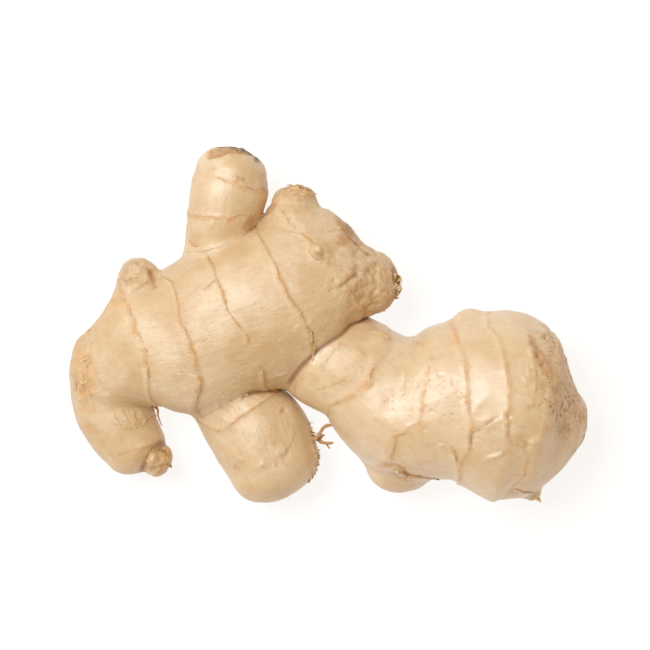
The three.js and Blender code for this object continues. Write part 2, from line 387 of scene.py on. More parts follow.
def distance_field(points, triangles):
    """Signed distance to a closed surface, in every cell of the grid."""
    grid = openvdb.FloatGrid.createLevelSetFromPolygons(
        points.astype(np.float32),
        triangles=triangles.astype(np.uint32),
        transform=openvdb.createLinearTransform(voxelSize=VOXEL),
        halfWidth=BAND,
    )
    field = np.full(GRID_SHAPE, BAND * VOXEL, np.float32)
    grid.copyToArray(field, ijk=GRID_START)
    return field


def sample(field, points):
    """The field's value at each point, between its cells."""
    p = np.asarray(points) / VOXEL - GRID_START
    p = np.clip(p, 0, np.array(GRID_SHAPE) - 1.001)
    cell = p.astype(int)
    t = p - cell
    total = np.zeros(len(p))
    for corner in np.ndindex(2, 2, 2):
        weight = np.prod(np.where(corner, t, 1 - t), axis=1)
        total += weight * field[tuple((cell + corner).T)]
    return total


def melt(a, b, width):
    """The union of two distance fields, with a fillet of that width."""
    overlap = np.maximum(width - np.abs(a - b), 0)
    return np.minimum(a, b) - overlap * overlap / (4 * width)


def soften(field, middle, radius, passes):
    """Blurs the field in a ball, so that a sharp fold there becomes a hollow."""
    low = np.round((np.array(middle) - radius) / VOXEL).astype(int) - GRID_START
    high = low + int(2 * radius / VOXEL)
    block = field[tuple(slice(a, b) for a, b in zip(low, high))]
    cells = np.stack(np.meshgrid(*(np.linspace(-1, 1, n) for n in block.shape), indexing="ij"))
    weight = smoothstep(1.0, 0.5, np.sqrt((cells**2).sum(axis=0))).astype(np.float32)
    blurred = block.copy()
    for axis in list(range(3)) * passes:
        blurred = (2 * blurred + np.roll(blurred, 1, axis) + np.roll(blurred, -1, axis)) / 4
    block += weight * (blurred - block)


def merge_width(limb):
    """The width of a limb's fillet, as a number or for each X of the grid."""
    if "merge_span" not in limb:
        return limb["merge"]
    x = (np.arange(GRID_SHAPE[0]) + GRID_START[0]) * VOXEL
    return np.interp(x, limb["merge_span"], limb["merge"]).astype(np.float32)[:, None, None]


def build_base():
    """The melted skin as points and quads, with each limb's loft and distance field."""
    lofts = {name: loft(limb) for name, limb in LIMBS.items()}
    fields = {name: distance_field(*surface[:2]) for name, surface in lofts.items()}
    whole = None
    for name, field in fields.items():
        whole = field if whole is None else melt(whole, field, merge_width(LIMBS[name]))
    for fold in FOLDS:
        soften(whole, *fold)
    height = (np.arange(GRID_SHAPE[2]) + GRID_START[2]) * VOXEL
    whole = np.maximum(whole, -height[None, None, :].astype(np.float32))
    grid = openvdb.FloatGrid(BAND * VOXEL)
    grid.copyFromArray(np.ascontiguousarray(whole), ijk=GRID_START)
    grid.transform = openvdb.createLinearTransform(voxelSize=VOXEL)
    points, quads = grid.convertToQuads(isovalue=0)
    return np.array(points, float), np.array(quads, int), lofts, fields


def vertex_normals(points, quads):
    """The skin's normal at each of its points."""
    p = points[quads]
    face = np.cross(p[:, 2] - p[:, 0], p[:, 3] - p[:, 1])
    normals = np.zeros_like(points)
    for k in range(4):
        np.add.at(normals, quads[:, k], face)
    return normals / np.maximum(np.linalg.norm(normals, axis=1), 1e-9)[:, None]


NEAR = 3.0  # how far from a limb's own skin the skin still takes after that limb


def limb_coordinates(points, lofts, fields):
    """For each limb: which points are near it, how much they belong to it, and their coordinates."""
    gaps = {name: sample(field, points) for name, field in fields.items()}
    least = np.min(list(gaps.values()), axis=0)
    result = {}
    for name, (loft_points, triangles, own) in lofts.items():
        share = np.clip(1 - (gaps[name] - least) / NEAR, 0, 1)
        near = np.flatnonzero(share > 0)
        tree = BVHTree.FromPolygons(loft_points.tolist(), triangles.tolist())
        hits = [tree.find_nearest(p) for p in points[near].tolist()]
        place = np.array([h[0] for h in hits])
        corners = triangles[np.array([h[2] for h in hits])]
        a, b, c = (loft_points[corners[:, k]] for k in range(3))
        v0, v1, v2 = b - a, c - a, place - a
        d00, d01, d11 = (np.sum(x * y, axis=1) for x, y in ((v0, v0), (v0, v1), (v1, v1)))
        d20, d21 = np.sum(v2 * v0, axis=1), np.sum(v2 * v1, axis=1)
        bottom = np.maximum(d00 * d11 - d01 * d01, 1e-12)
        v = np.clip((d11 * d20 - d01 * d21) / bottom, 0, 1)
        w = np.clip((d00 * d21 - d01 * d20) / bottom, 0, 1)
        u = np.clip(1 - v - w, 0, 1)
        blend = u[:, None] * own[corners[:, 0]] + v[:, None] * own[corners[:, 1]]
        blend += w[:, None] * own[corners[:, 2]]
        result[name] = dict(near=near, share=share[near] ** 2, own=blend)
    return result


# ---- Marks drawn on the upper side ------------------------------------------------------------
#
# Each is a line seen from above. A step is the edge of a flap: its left side stands up by the
# height and falls away over the width, and its right side drops at once. Stain is how strongly the
# line is coloured orange-brown.

STEP, RIDGE, GROOVE = "step", "ridge", "groove"
MARKS = [
    # First hand: old end, its flaking skin and the fold above the finger.
    (STEP, 1.6, 0.35, 0.7, [(-62.9, -8.3), (-64.3, -9), (-66.3, -9.9)]),
    (GROOVE, 0.5, 0.25, 0.5, [(-63.5, -9.2), (-63.1, -10.6), (-64.2, -11.4), (-65, -11.2)]),
    (GROOVE, 0.5, 0.25, 0.6, [(-66.4, -12.4), (-65.2, -13), (-65, -14.8), (-63.8, -15.6)]),
    (STEP, 1, 0.3, 0.6, [(-63, -15.4), (-64, -17.4), (-66.2, -18.2), (-68.4, -17.6)]),
    (RIDGE, 1, 0.25, 0.1, [(-67.5, -11), (-66.6, -13.5), (-67, -16)]),
    (RIDGE, 1.6, 0.35, 0, [(-62.9, -1.1), (-58.8, 2.3), (-55.4, 6.2)]),
    (RIDGE, 1.3, 0.4, 0, [(-68, -19.4), (-64.5, -19.4), (-61, -18.9), (-57.4, -19.2)]),
    (GROOVE, 1.2, 0.12, 0, [(-66.5, -20.8), (-62, -20.8), (-57.6, -20.6)]),
    # Old-end knob: cracked skin on its left side.
    (GROOVE, 0.5, 0.25, 0.6, [(-56.5, 8), (-54.6, 8.8), (-52.8, 8.3)]),
    (GROOVE, 0.5, 0.25, 0.5, [(-55, 12.4), (-53.2, 11.4), (-51.4, 12.2)]),
    (STEP, 1, 0.3, 0.5, [(-46, 12.4), (-48.4, 15.2), (-51.6, 16.4), (-54.2, 14)]),
    # This groove's dark stain is partly painted shade, in the notch where the knob meets the first
    # hand.
    (GROOVE, 0.5, 0.6, 0.9, [(-47.4, 15), (-46.4, 12.8), (-45.6, 10.6), (-45.8, 9)]),
    (RIDGE, 1.2, 0.3, 0, [(-55.6, 10.2), (-53.4, 13.4), (-51, 14.2)]),
    # First hand: branch of the third ring, the ring before the thumb and the belly patch.
    (STEP, 1.1, 0.25, 0.6, [(-28.2, 11.6), (-29.4, 11.4), (-30.6, 10.2), (-32.4, 8.7)]),
    (STEP, 1.4, 0.3, 0.4, [(-31.6, -15.8), (-34.4, -13.4), (-38.4, -13), (-41.5, -14.6)]),
    (RIDGE, 1.5, 0.3, 0, [(-35.2, -14.6), (-35, -17), (-36.2, -19)]),
    (STEP, 1, 0.2, 0.4, [(-7.4, 4.9), (-8.8, 5.5), (-10.8, 5.5), (-13.2, 4.7)]),
    (RIDGE, 1.2, 0.3, 0, [(-8.5, -0.8), (-6, -1.6), (-4.8, -4)]),
    (GROOVE, 0.6, 0.3, 0.5, [(-36.7, 22.8), (-35.4, 21.6), (-33.9, 21.4)]),
    # First hand: buds, knuckles and the wrinkles that run into the tip.
    (RIDGE, 0.8, 0.55, 0.1, [(-3, 20.9), (-1.7, 20.2), (-0.6, 20.9)]),
    (RIDGE, 0.7, 0.5, 0.1, [(-2.6, 18.8), (-1.3, 19.7)]),
    (GROOVE, 0.45, 0.45, 0.7, [(-3.4, 19.4), (-1.9, 18.2), (-0.3, 17.8), (0.1, 19.6)]),
    (RIDGE, 0.8, 0.35, 0.1, [(-1.4, 26.1), (-0.6, 25.6)]),
    (GROOVE, 0.45, 0.3, 0.6, [(-0.5, 26.3), (-0.1, 25.4)]),
    (RIDGE, 1, 0.3, 0.1, [(-10.6, 15.5), (-9.4, 15)]),
    (GROOVE, 0.45, 0.25, 0.5, [(-11, 14.9), (-10, 14.2)]),
    (RIDGE, 1, 0.4, 0, [(3, 18.2), (4.2, 18.5)]),
    (RIDGE, 1.1, 0.6, 0, [(6.4, 10.7), (8.4, 11.6), (11.2, 12.8)]),
    (GROOVE, 0.5, 0.7, 0.6, [(3.4, 9.6), (5.6, 11), (7.6, 12.6), (9.2, 13.8)]),
    (GROOVE, 0.5, 0.4, 0.3, [(0.4, 10.4), (3.2, 12.6), (5.2, 13.2)]),
    (RIDGE, 1.2, 0.5, 0, [(8.6, 16.6), (11.6, 17.4), (14, 16)]),
    (RIDGE, 1, 0.45, 0, [(2.2, 12), (4.8, 13), (7.4, 14.8)]),
    (RIDGE, 0.9, 0.6, 0.2, [(10, 14.6), (11.4, 14.8)]),
    (GROOVE, 0.5, 0.5, 0.7, [(11.8, 14.9), (11.2, 13.6), (9.8, 13.5)]),
    (RIDGE, 0.9, 0.45, 0, [(10.4, 8.4), (11.4, 8.2)]),
    (GROOVE, 0.5, 0.3, 0.2, [(9.6, 10.4), (11.6, 10.6), (13.4, 10.4)]),
    (RIDGE, 0.8, 0.25, 0, [(-1, 9), (1, 10.8), (2.4, 12)]),
    (RIDGE, 0.7, 0.22, 0, [(1.4, 6.2), (3.4, 8.4), (5, 9.6)]),
    (RIDGE, 0.7, 0.2, 0, [(3.2, 5), (5, 7), (6.2, 8)]),
    (GROOVE, 0.6, 0.25, 0, [(0.6, 8.4), (2.6, 10)]),
    (STEP, 1.2, 0.3, 0.35, [(9.4, 20), (7.4, 22.6), (5, 26), (2.9, 29)]),
    # Upper finger: wrinkled sheath below its ring, folds round its dried tip.
    (RIDGE, 0.7, 0.25, 0, [(-29.6, 28.4), (-31, 25.2)]),
    (RIDGE, 0.6, 0.3, 0, [(-26, 28.6), (-27, 26.4)]),
    (RIDGE, 0.6, 0.3, 0, [(-22.8, 28.8), (-23.8, 26.8)]),
    (GROOVE, 0.5, 0.2, 0.3, [(-24.6, 28.6), (-25.6, 26.6)]),
    (GROOVE, 0.5, 0.2, 0.5, [(-27.4, 40.6), (-25.6, 40.4)]),
    (STEP, 0.8, 0.35, 0.8, [(-17.9, 43.8), (-20.6, 45.8), (-25.6, 46.1), (-29, 44.7), (-31.6, 44.5)]),
    (GROOVE, 0.4, 0.25, 0.6, [(-28.8, 46.2), (-27.2, 46.6), (-25.8, 47.6)]),
    (STEP, 0.8, 0.25, 0.7, [(-20.6, 38.2), (-23.6, 38.9), (-25, 38.8)]),
    (GROOVE, 0.4, 0.2, 0.4, [(-31.2, 42), (-29.6, 41.6), (-28.4, 41.9)]),
    # Old-end finger: torn scale above its ring, dark line round the bud.
    (RIDGE, 0.4, 0.25, 0.2, [(-55.6, -22.4), (-54.4, -24.4), (-53.6, -26.6)]),
    (RIDGE, 0.4, 0.3, 0.1, [(-50.4, -23), (-49.6, -25), (-49.4, -26.8)]),
    (RIDGE, 0.4, 0.25, 0.1, [(-52.4, -22.6), (-51.6, -24.8), (-51.4, -27)]),
    (RIDGE, 0.4, 0.2, 0.3, [(-57.4, -23.4), (-56.8, -25.4), (-55.4, -26.6)]),
    (GROOVE, 0.5, 0.3, 0.5, [(-51.6, -23.8), (-51, -26)]),
    (RIDGE, 0.9, 0.6, 0, [(-48.4, -37.4), (-46, -35.8), (-43.6, -34.8)]),
    (GROOVE, 0.5, 0.6, 0.9, [(-48, -39.2), (-45.4, -38.6), (-43.4, -38.2), (-41.6, -37)]),
    (GROOVE, 0.4, 0.35, 0.6, [(-46.2, -34.2), (-45, -36), (-44.8, -37.6)]),
    (STEP, 1.2, 0.2, 0.3, [(-56.7, -35.2), (-52.3, -33.8), (-48.7, -32.8), (-45.1, -32)]),
    # Thumb: crumpled sheath, knuckles and little warts.
    (RIDGE, 0.45, 0.3, 0, [(-23.8, -17.6), (-22.8, -19.4), (-22.7, -21)]),
    (RIDGE, 0.45, 0.3, 0, [(-21.6, -17.8), (-20.5, -19.7)]),
    (RIDGE, 0.45, 0.3, 0, [(-19.9, -17.6), (-18.3, -19.1), (-16.6, -19.4)]),
    (RIDGE, 0.45, 0.3, 0, [(-27.8, -18.4), (-24.1, -21.9), (-23.2, -23.6), (-22.1, -24.2)]),
    (RIDGE, 0.45, 0.3, 0, [(-29.6, -19.2), (-27.7, -23.3), (-27.6, -24.8), (-26.6, -26)]),
    (GROOVE, 0.5, 0.35, 0.5, [(-29.8, -25.7), (-28.2, -28.6)]),
    (GROOVE, 0.5, 0.3, 0.4, [(-28.6, -20.6), (-26.9, -23.6)]),
    (GROOVE, 0.5, 0.3, 0.3, [(-25.6, -19.6), (-24, -21)]),
    (GROOVE, 0.5, 0.4, 0.8, [(-10.4, -21.6), (-11, -22.9), (-12.4, -23.8)]),
    (RIDGE, 1.1, 0.5, 0, [(-12.8, -35.6), (-11.4, -33.4), (-10.2, -31.8)]),
    (GROOVE, 0.7, 0.3, 0.1, [(-11.4, -36.6), (-9.8, -34), (-9, -32.4)]),
    (RIDGE, 0.8, 0.5, 0.2, [(-24.2, -36.8), (-23, -36.2), (-22.2, -37.6)]),
    (GROOVE, 0.5, 0.25, 0.5, [(-24.6, -37), (-23.8, -38.6), (-22, -38.8)]),
    (RIDGE, 0.8, 0.5, 0.1, [(-18.4, -38.4), (-17, -37.4), (-15.8, -38)]),
    (GROOVE, 0.5, 0.25, 0.4, [(-18.6, -37.8), (-17.2, -37.2)]),
    (GROOVE, 0.5, 0.2, 0.6, [(-28, -41), (-26.6, -40.2)]),
    (GROOVE, 0.35, 0.25, 0.7, [(-12.2, 31.6), (-10.6, 29.4), (-8.8, 27.2), (-7.2, 25.4)]),
    # Second hand: the flap by the first hand, the sheath and the line beside the crease.
    (STEP, 1, 0.45, 0.8, [(17.6, -4), (14.1, -2.6), (11.8, -1.7)]),
    (STEP, 0.9, 0.25, 0.5, [(4.8, -4.4), (3, -6.8), (0.6, -9.6), (-1, -11.4)]),
    (STEP, 0.9, 0.3, 0.6, [(3.4, -21.4), (3.2, -19.4)]),
    (RIDGE, 2.2, 0.35, 0, [(10.5, -6), (8, -11), (3.5, -15.5)]),
    # Second hand: flap above the belly knob, crumpled fold, glossy ridges at the far end.
    (STEP, 1.5, 0.42, 0.7, [(35, -36.4), (34.3, -34.2), (33, -32.6), (31.4, -31.7), (29.2, -31.6)]),
    (GROOVE, 0.7, 0.6, 0.9, [(38.3, -29), (38.6, -31.4), (38, -33.6)]),
    (STEP, 1.6, 0.6, 0.9, [(31.6, -42.1), (25.4, -41.1), (22.5, -40.2), (19.6, -37.9), (15.8, -37.7)]),
    (GROOVE, 0.6, 0.4, 0.9, [(18, -39), (20, -40.6), (22.6, -41.2)]),
    (RIDGE, 0.7, 0.5, 0.5, [(19.4, -39.6), (21.6, -39.4)]),
    (RIDGE, 0.75, 0.5, 0, [(41.6, -36.1), (44.4, -34.7), (47.6, -33.5)]),
    (GROOVE, 0.5, 0.2, 0.6, [(38.1, -30.4), (39.2, -28.2), (41, -27.2), (44, -25), (46.6, -23.4)]),
    (GROOVE, 0.6, 0.45, 0.5, [(48.6, -25.6), (48.2, -29), (49.6, -31.8), (52.2, -32.8)]),
    (RIDGE, 1.2, 0.25, 0, [(50.6, -27.4), (50.2, -30.4)]),
    (RIDGE, 1.8, 0.15, 0, [(40.4, -26.6), (43.4, -24.6), (47.6, -23.6)]),
    (GROOVE, 0.6, 0.5, 0.8, [(46.6, -23.2), (48, -23.6), (48.4, -25.4)]),
    (GROOVE, 0.6, 0.35, 0.3, [(53, -21.7), (55.8, -21.4)]),
    (GROOVE, 0.6, 0.25, 0.2, [(53.4, -23), (54.8, -22.8)]),
    (RIDGE, 1.1, 0.6, 0.2, [(53.4, -31.8), (55.2, -31), (57.3, -29)]),
    (GROOVE, 0.9, 0.4, 0.2, [(50.8, -30), (52.8, -30.6), (53.6, -33)]),
    (STEP, 1.2, 0.3, 0.3, [(55.1, -18), (55.6, -12.4), (54.9, -6), (53.6, -2)]),
    (GROOVE, 0.5, 0.4, 0.8, [(49.6, -43.2), (50.4, -45.2), (52.4, -45.4)]),
    (RIDGE, 1, 0.3, 0.3, [(38.4, 1.2), (41.6, 1.4)]),
]

# Round patches seen from above, by kind: middle, radii along X and Y, turn in degrees and strength.
# Scar is dry grey-brown skin, pock is brown pits and specks, orange and brown are tints, rugged is
# crumpled skin with warts, plain hides the ring that runs through it, and matt takes the wax off.
# Two of the brown patches are painted shade, in notches where a limb meets the first hand.
PATCHES = {
    "matt": [
        (6, -11, 9, 8, -35, 0.8), (11.5, -21, 5, 6, 0, 0.5), (44.5, -30, 7, 5, 10, 0.5),
    ],
    "plain": [
        (3.2, 13.6, 5.6, 3.4, -50, 1.0), (-18.6, -9, 2.4, 4.6, 15, 0.9),
        (-63, -28, 4.2, 2.4, 0, 0.8), (-62.5, -19.4, 6.5, 2, 0, 1.0), (-62.6, -6, 2, 4.5, 0, 0.7),
        (-14.5, 19, 2.4, 3.4, 20, 0.5), (-32, 39.8, 4, 1.6, 0, 0.7), (-48.6, -4, 2, 3, 0, 0.5),
        (-58.2, -27.8, 2.4, 2, 0, 1.0), (25.4, -8, 3, 3.4, 0, 0.6),
        (-12.5, 26.6, 6.8, 3.6, -8, 1.0), (8.6, 7.4, 2.2, 3, 0, 0.6),
    ],
    "rugged": [
        (13.5, 11.5, 9.5, 10, 0, 1.0), (5, 17, 5, 8, 30, 0.45), (-7.8, 36, 5, 3.4, 0, 0.9),
        (-51.5, 12.6, 6, 5, 20, 0.9), (62, -14, 9, 17, 12, 0.75), (-22.5, -21.5, 9, 4.6, 30, 0.2),
        (-65, -12, 4, 9.5, 0, 0.5), (-45.5, -37, 5, 4.4, 0, 0.5), (-15, -33, 9, 6.5, 0, 0.16),
        (-53.5, -25.6, 5.5, 2.6, 0, 0.3), (21, -39, 8, 3.6, -15, 0.5),
        (46.5, -30.5, 9.5, 6, 10, 0.2), (-25.5, 47, 6.5, 2, 0, 0.7), (5.6, 25.4, 2.2, 6, -38, 0.7),
    ],
    "scar": [
        (-22.3, 47, 3.1, 1.3, -22, 1.0), (-24.5, 49, 7.5, 2, -3, 1.0),
        (-18.2, 44.4, 0.9, 1.1, 35, 0.8), (18.8, 11.6, 1, 3.6, 8, 0.6),
        (-8.3, 37.4, 3.6, 1.7, -10, 0.4), (5.2, 27, 1.3, 5.2, 35, 0.3),
        (-53.6, 15.6, 1.4, 0.8, 40, 0.3),
    ],
    "brown": [
        # The second patch on the next line is painted shade, in the notch where the upper finger meets
        # the first hand.
        (-27.6, 46.6, 4.2, 1.6, 22, 1.0), (-20.6, 27.2, 2.6, 1.2, 45, 0.7),
        # The first patch on the next line is painted shade, in the notch where the old-end knob meets
        # the first hand.
        (-46.6, 13, 0.9, 2.4, 15, 1.0), (-52, 13, 4, 3, 30, 0.5), (-14.6, 31.2, 2.6, 1.1, 45, 0.9),
        (6.4, 24.6, 1.8, 6.5, -38, 0.9), (16, 12.6, 4.5, 7, 0, 0.35), (-43.6, -39.6, 3, 1, 25, 0.6),
        (56.8, -8.6, 1.5, 6.2, 26, 0.9), (61.6, -21, 2, 9, 12, 0.3), (60.4, -14, 1.6, 5, 16, 0.5),
        (-49.2, -35, 3.6, 1.9, 20, 0.3), (7.5, -16.4, 2.2, 2.2, 0, 0.25),
        (-3, -14.4, 1.8, 2.6, 0, 0.25),
    ],
    "pock": [
        (-27.4, 46.8, 3.6, 1.4, 22, 1.0), (5.4, 25.6, 2, 6, -38, 0.6),
        (62.5, -17, 6.5, 17, 14, 1.0), (56.5, -9, 5, 8, 10, 0.5), (27, -20, 11, 9, 0, 0.35),
        (6, 16, 13, 9, 15, 0.3), (-14, -34, 8, 8, 0, 0.3),
    ],
    "orange": [
        (-24.2, 38.4, 1.9, 1, -15, 1.0), (-31.5, 28.6, 4, 0.8, 0, 0.6),
        (-55.2, 6.6, 2.6, 1.8, 30, 1.0), (-65, -13, 3.2, 7.5, 10, 0.8),
        (-63.6, -28, 2.6, 2.2, 0, 0.9), (-64, -22.5, 3.4, 1.8, -20, 0.6),
        (-43, -35, 2, 1.8, 0, 0.7), (-46.8, -39.4, 1.4, 1.2, 0, 0.4), (-44.8, -37, 3, 2.2, 0, 0.4),
        (-50.5, -26.6, 3.2, 1.4, 5, 0.5), (34, -1.6, 1.8, 3.4, 0, 0.6),
        (22, -40.6, 6.5, 1.6, -18, 0.8), (-7.5, -14.4, 2.4, 2, 20, 0.6), (25, -27, 3, 1.4, 25, 0.5),
        (-22, -44.6, 6, 2.2, -25, 0.4), (6, -19.4, 5, 1.6, 30, 0.4),
    ],
}


def line_position(points, course):
    """Distance along a line, of how long, and to its left, for points seen from above."""
    course = np.array(course, float)
    starts = distances(course)
    best = np.full(len(points), np.inf)
    along_line = np.zeros(len(points))
    aside = np.zeros(len(points))
    for k, length in enumerate(np.diff(starts)):
        heading = (course[k + 1] - course[k]) / length
        offset = points[:, :2] - course[k]
        t = np.clip(offset @ heading, 0, length)
        gap = offset - t[:, None] * heading
        away = np.hypot(gap[:, 0], gap[:, 1])
        closer = away < best
        left = np.where(heading[0] * offset[:, 1] - heading[1] * offset[:, 0] >= 0, 1, -1)
        best = np.where(closer, away, best)
        along_line = np.where(closer, starts[k] + t, along_line)
        aside = np.where(closer, away * left, aside)
    return along_line, starts[-1], aside


MARK_REACH = 6  # how far from its line's box a mark is looked for
MARK_ENDS = 1.2  # length over which a mark fades in and out at its ends
MARK_SHAKE = 0.28  # how far noise moves a mark's line
STAIN_WIDTH = 0.5
STAIN_ASIDE = -0.25  # where the stain of a flap's edge lies: just past it, on its right
STEP_REACH = 3  # how far from its edge a flap ends
STEP_DROP = 0.35  # width over which a flap's edge drops
FOOT = 0.3  # how deep the skin lies past an edge, as a share of the edge's height
FOOT_RUN = 2  # length over which it comes back up from there
PATCH_ROUGH = 0.45  # how ragged a patch's outline is, as a share of its radii


def step_profile(past, run, drop):
    """Height over the plain skin past an edge of height 1: it rises to the edge and drops."""
    rising = np.exp(np.minimum(past, 0) / run)
    dropping = 1 - (1 + FOOT) * smoothstep(0, drop, past)
    foot = -FOOT * np.exp(-(np.maximum(past, drop) - drop) / FOOT_RUN)
    return np.where(past <= 0, rising, np.where(past < drop, dropping, foot))


def fade(place, length, over):
    """0 at both ends of a line of that length, 1 away from them."""
    return smoothstep(0, over, place) * smoothstep(0, over, length - place)


def draw_marks(points, normals):
    """Relief and stain of the drawn marks at each point."""
    relief = np.zeros(len(points))
    stain = np.zeros(len(points))
    shake = np.stack([noise(points, 1.6, 5), noise(points, 1.6, 6)], 1)
    shaken = points[:, :2] + MARK_SHAKE * shake
    top = smoothstep(0.02, 0.25, normals[:, 2])
    for kind, width, height, colour, course in MARKS:
        low, high = np.min(course, axis=0) - MARK_REACH, np.max(course, axis=0) + MARK_REACH
        inside = np.all((points[:, :2] > low) & (points[:, :2] < high), axis=1)
        near = np.flatnonzero(inside & (top > 0))
        place, length, aside = line_position(shaken[near], course)
        ends = fade(place, length, MARK_ENDS)
        ends = np.where((place <= 0) | (place >= length), 0.0, ends) * top[near]
        if kind == STEP:
            shape = step_profile(-aside, width, STEP_DROP)
            shape *= np.exp(-np.maximum(np.abs(aside) - STEP_REACH, 0))
        else:
            shape = np.exp(-((aside / width) ** 2)) * (1 if kind == RIDGE else -1)
        relief[near] += height * shape * ends * (0.8 + 0.5 * noise(points[near], 1.8, 7))
        middle = STAIN_ASIDE if kind == STEP else 0
        tint = np.exp(-(((aside - middle) / STAIN_WIDTH) ** 2)) * ends
        tint = tint * np.clip(0.7 + 0.7 * noise(points[near], 1.1, 8), 0, 1)
        stain[near] = np.maximum(stain[near], colour * tint)
    return relief, stain


def draw_patches(points, normals):
    """Strength of each kind of patch at each point."""
    kinds = {kind: np.zeros(len(points)) for kind in PATCHES}
    rough = PATCH_ROUGH * layered(points, 3.5, 3, 21)
    facing = smoothstep(-0.35, 0.1, normals[:, 2])
    rows = [(kind, *row) for kind, patches in PATCHES.items() for row in patches]
    for kind, x, y, radius_x, radius_y, turn, amount in rows:
        a = math.radians(turn)
        dx, dy = points[:, 0] - x, points[:, 1] - y
        u = (dx * math.cos(a) + dy * math.sin(a)) / radius_x
        v = (dy * math.cos(a) - dx * math.sin(a)) / radius_y
        edge = np.hypot(u, v) + rough
        kinds[kind] = np.maximum(kinds[kind], amount * (1 - smoothstep(0.7, 1.15, edge)) * facing)
    return kinds


# ---- Rings and grain --------------------------------------------------------------------------

RING_RUN = 2.2  # length over which the skin rises to a ring's edge
RING_DROP = 0.5  # length over which dry skin drops past the edge
WAX_DROP = 0.6  # how much further that is on waxy skin
WANDER = 0.35  # how far a ring's edge wanders from its course
FINE_WANDER = 0.16  # how far it does so from one millimetre to the next
FAR = 9.0  # distance from a ring that counts as away from any
COURSE_NEAR = 1.5  # how near a course's place a limb must have skin for it to count
COURSE_FADE = 1.0  # angle past a drawn course over which its ring runs back to straight
GRAIN_APART = 150.0  # keeps the grain of one limb away from the next one's


def ring_shifts(points, normals, coords):
    """For each ring with a drawn course: how far it is from straight, by the angle round."""
    shifts = {}
    for (name, k), course in RING_COURSES.items():
        data = coords[name]
        reach = limb_reach(LIMBS[name])
        good = (normals[data["near"], 2] > 0.05) & (data["share"] > 0.6)
        seen, own = points[data["near"]][good], data["own"][good]
        angles, offsets = [], []
        for x, y in course:
            flat = np.hypot(seen[:, 0] - x, seen[:, 1] - y) - 0.01 * seen[:, 2]
            i = int(np.argmin(flat))
            if flat[i] < COURSE_NEAR:
                angles.append(math.atan2(own[i, 2], own[i, 1]))
                offsets.append(own[i, 0] - reach[k])
        order = np.argsort(angles)
        angles, offsets = np.array(angles)[order], np.array(offsets)[order]
        angles = np.concatenate([[angles[0] - COURSE_FADE], angles, [angles[-1] + COURSE_FADE]])
        offsets = np.concatenate([[0.0], offsets, [0.0]])
        turns = [angles + 2 * math.pi * turn for turn in (-1, 0, 1)]
        shifts[name, k] = np.concatenate(turns), np.tile(offsets, 3)
    return shifts


def describe(points, coords, shifts, plain):
    """Everything that the skin's relief and colours need, at each point."""
    count = len(points)
    total = np.zeros(count)
    relief = np.zeros(count)
    wax = np.zeros(count)
    past = np.full(count, FAR)
    grain = np.zeros((count, 3))
    strongest = np.zeros(count)
    wander = WANDER * noise(points, 3.2, 1) + FINE_WANDER * noise(points, 1.0, 2)
    torn = np.clip(0.55 + 0.6 * noise(points, 4.0, 3), 0.1, 1.1)
    for number, (name, data) in enumerate(coords.items()):
        limb = LIMBS[name]
        near, share, own = data["near"], data["share"], data["own"]
        reach = limb_reach(limb)
        angle = np.arctan2(own[:, 2], own[:, 1])
        height = np.zeros(len(near))
        closest = np.full(len(near), FAR)
        for k, rise in enumerate(limb_nodes(limb)[:, 5]):
            if not rise:
                continue
            shift = np.interp(angle, *shifts[name, k]) if (name, k) in shifts else 0
            gone = own[:, 0] - reach[k] - shift - wander[near]
            edge = step_profile(gone, RING_RUN, RING_DROP + WAX_DROP * limb["wax"])
            height += rise * torn[near] * edge * (1 - plain[near])
            closest = np.where(np.abs(gone) < np.abs(closest), gone, closest)
        total[near] += share
        relief[near] += share * height
        wax[near] += share * limb["wax"]
        mine = share > strongest[near]
        strongest[near] = np.maximum(strongest[near], share)
        past[near] = np.where(mine, closest, past[near])
        grain[near] = np.where(mine[:, None], own[:, 3:6] + GRAIN_APART * number, grain[near])
    relief /= np.maximum(total, 1e-6)
    wax /= np.maximum(total, 1e-6)
    return dict(relief=relief, wax=wax, past=past, grain=grain)


# ---- The skin's shape -------------------------------------------------------------------------

WRINKLE = 0.1  # height of the fine lengthwise wrinkles of dry skin
SWELL = 0.35  # height of the broad unevenness of all skin
FACET = 0.12  # height of the blunt ridges between its broad dents
RUGGED = 0.4  # height of the folds of rugged skin
SCARRED = 0.45  # height of the crust of scars
PITTED = 0.45  # depth of the pits of pocked skin
PEBBLES = 0.03  # height of the pebbles of waxy skin
SOFT_MERGE = 2.6  # a limb that flows into its neighbour over more than this has no crease there
CREASE_WIDTH = 1.5  # how nearly as close two limbs are where they meet in a crease
RING_LOOKS = (4.0, 2.0)  # distances from a ring over which its colours come in


def warts(points, size, share, seed):
    """Height of round warts of about that size; the share is how many cells of space hold one."""
    cell = np.floor(points / size)
    height = np.zeros(len(points))
    for corner in np.ndindex(3, 3, 3):
        here = cell + np.array(corner) - 1
        middle = [here[:, k] + 0.25 + 0.5 * hashed(here, seed + k) for k in range(3)]
        away = np.linalg.norm(points / size - np.stack(middle, 1), axis=1)
        wide = 0.3 + 0.35 * hashed(here, seed + 3)
        dome = np.clip(1 - (away / wide) ** 2, 0, 1) ** 1.5
        height = np.maximum(height, np.where(hashed(here, seed + 4) < share, dome * wide, 0))
    return height


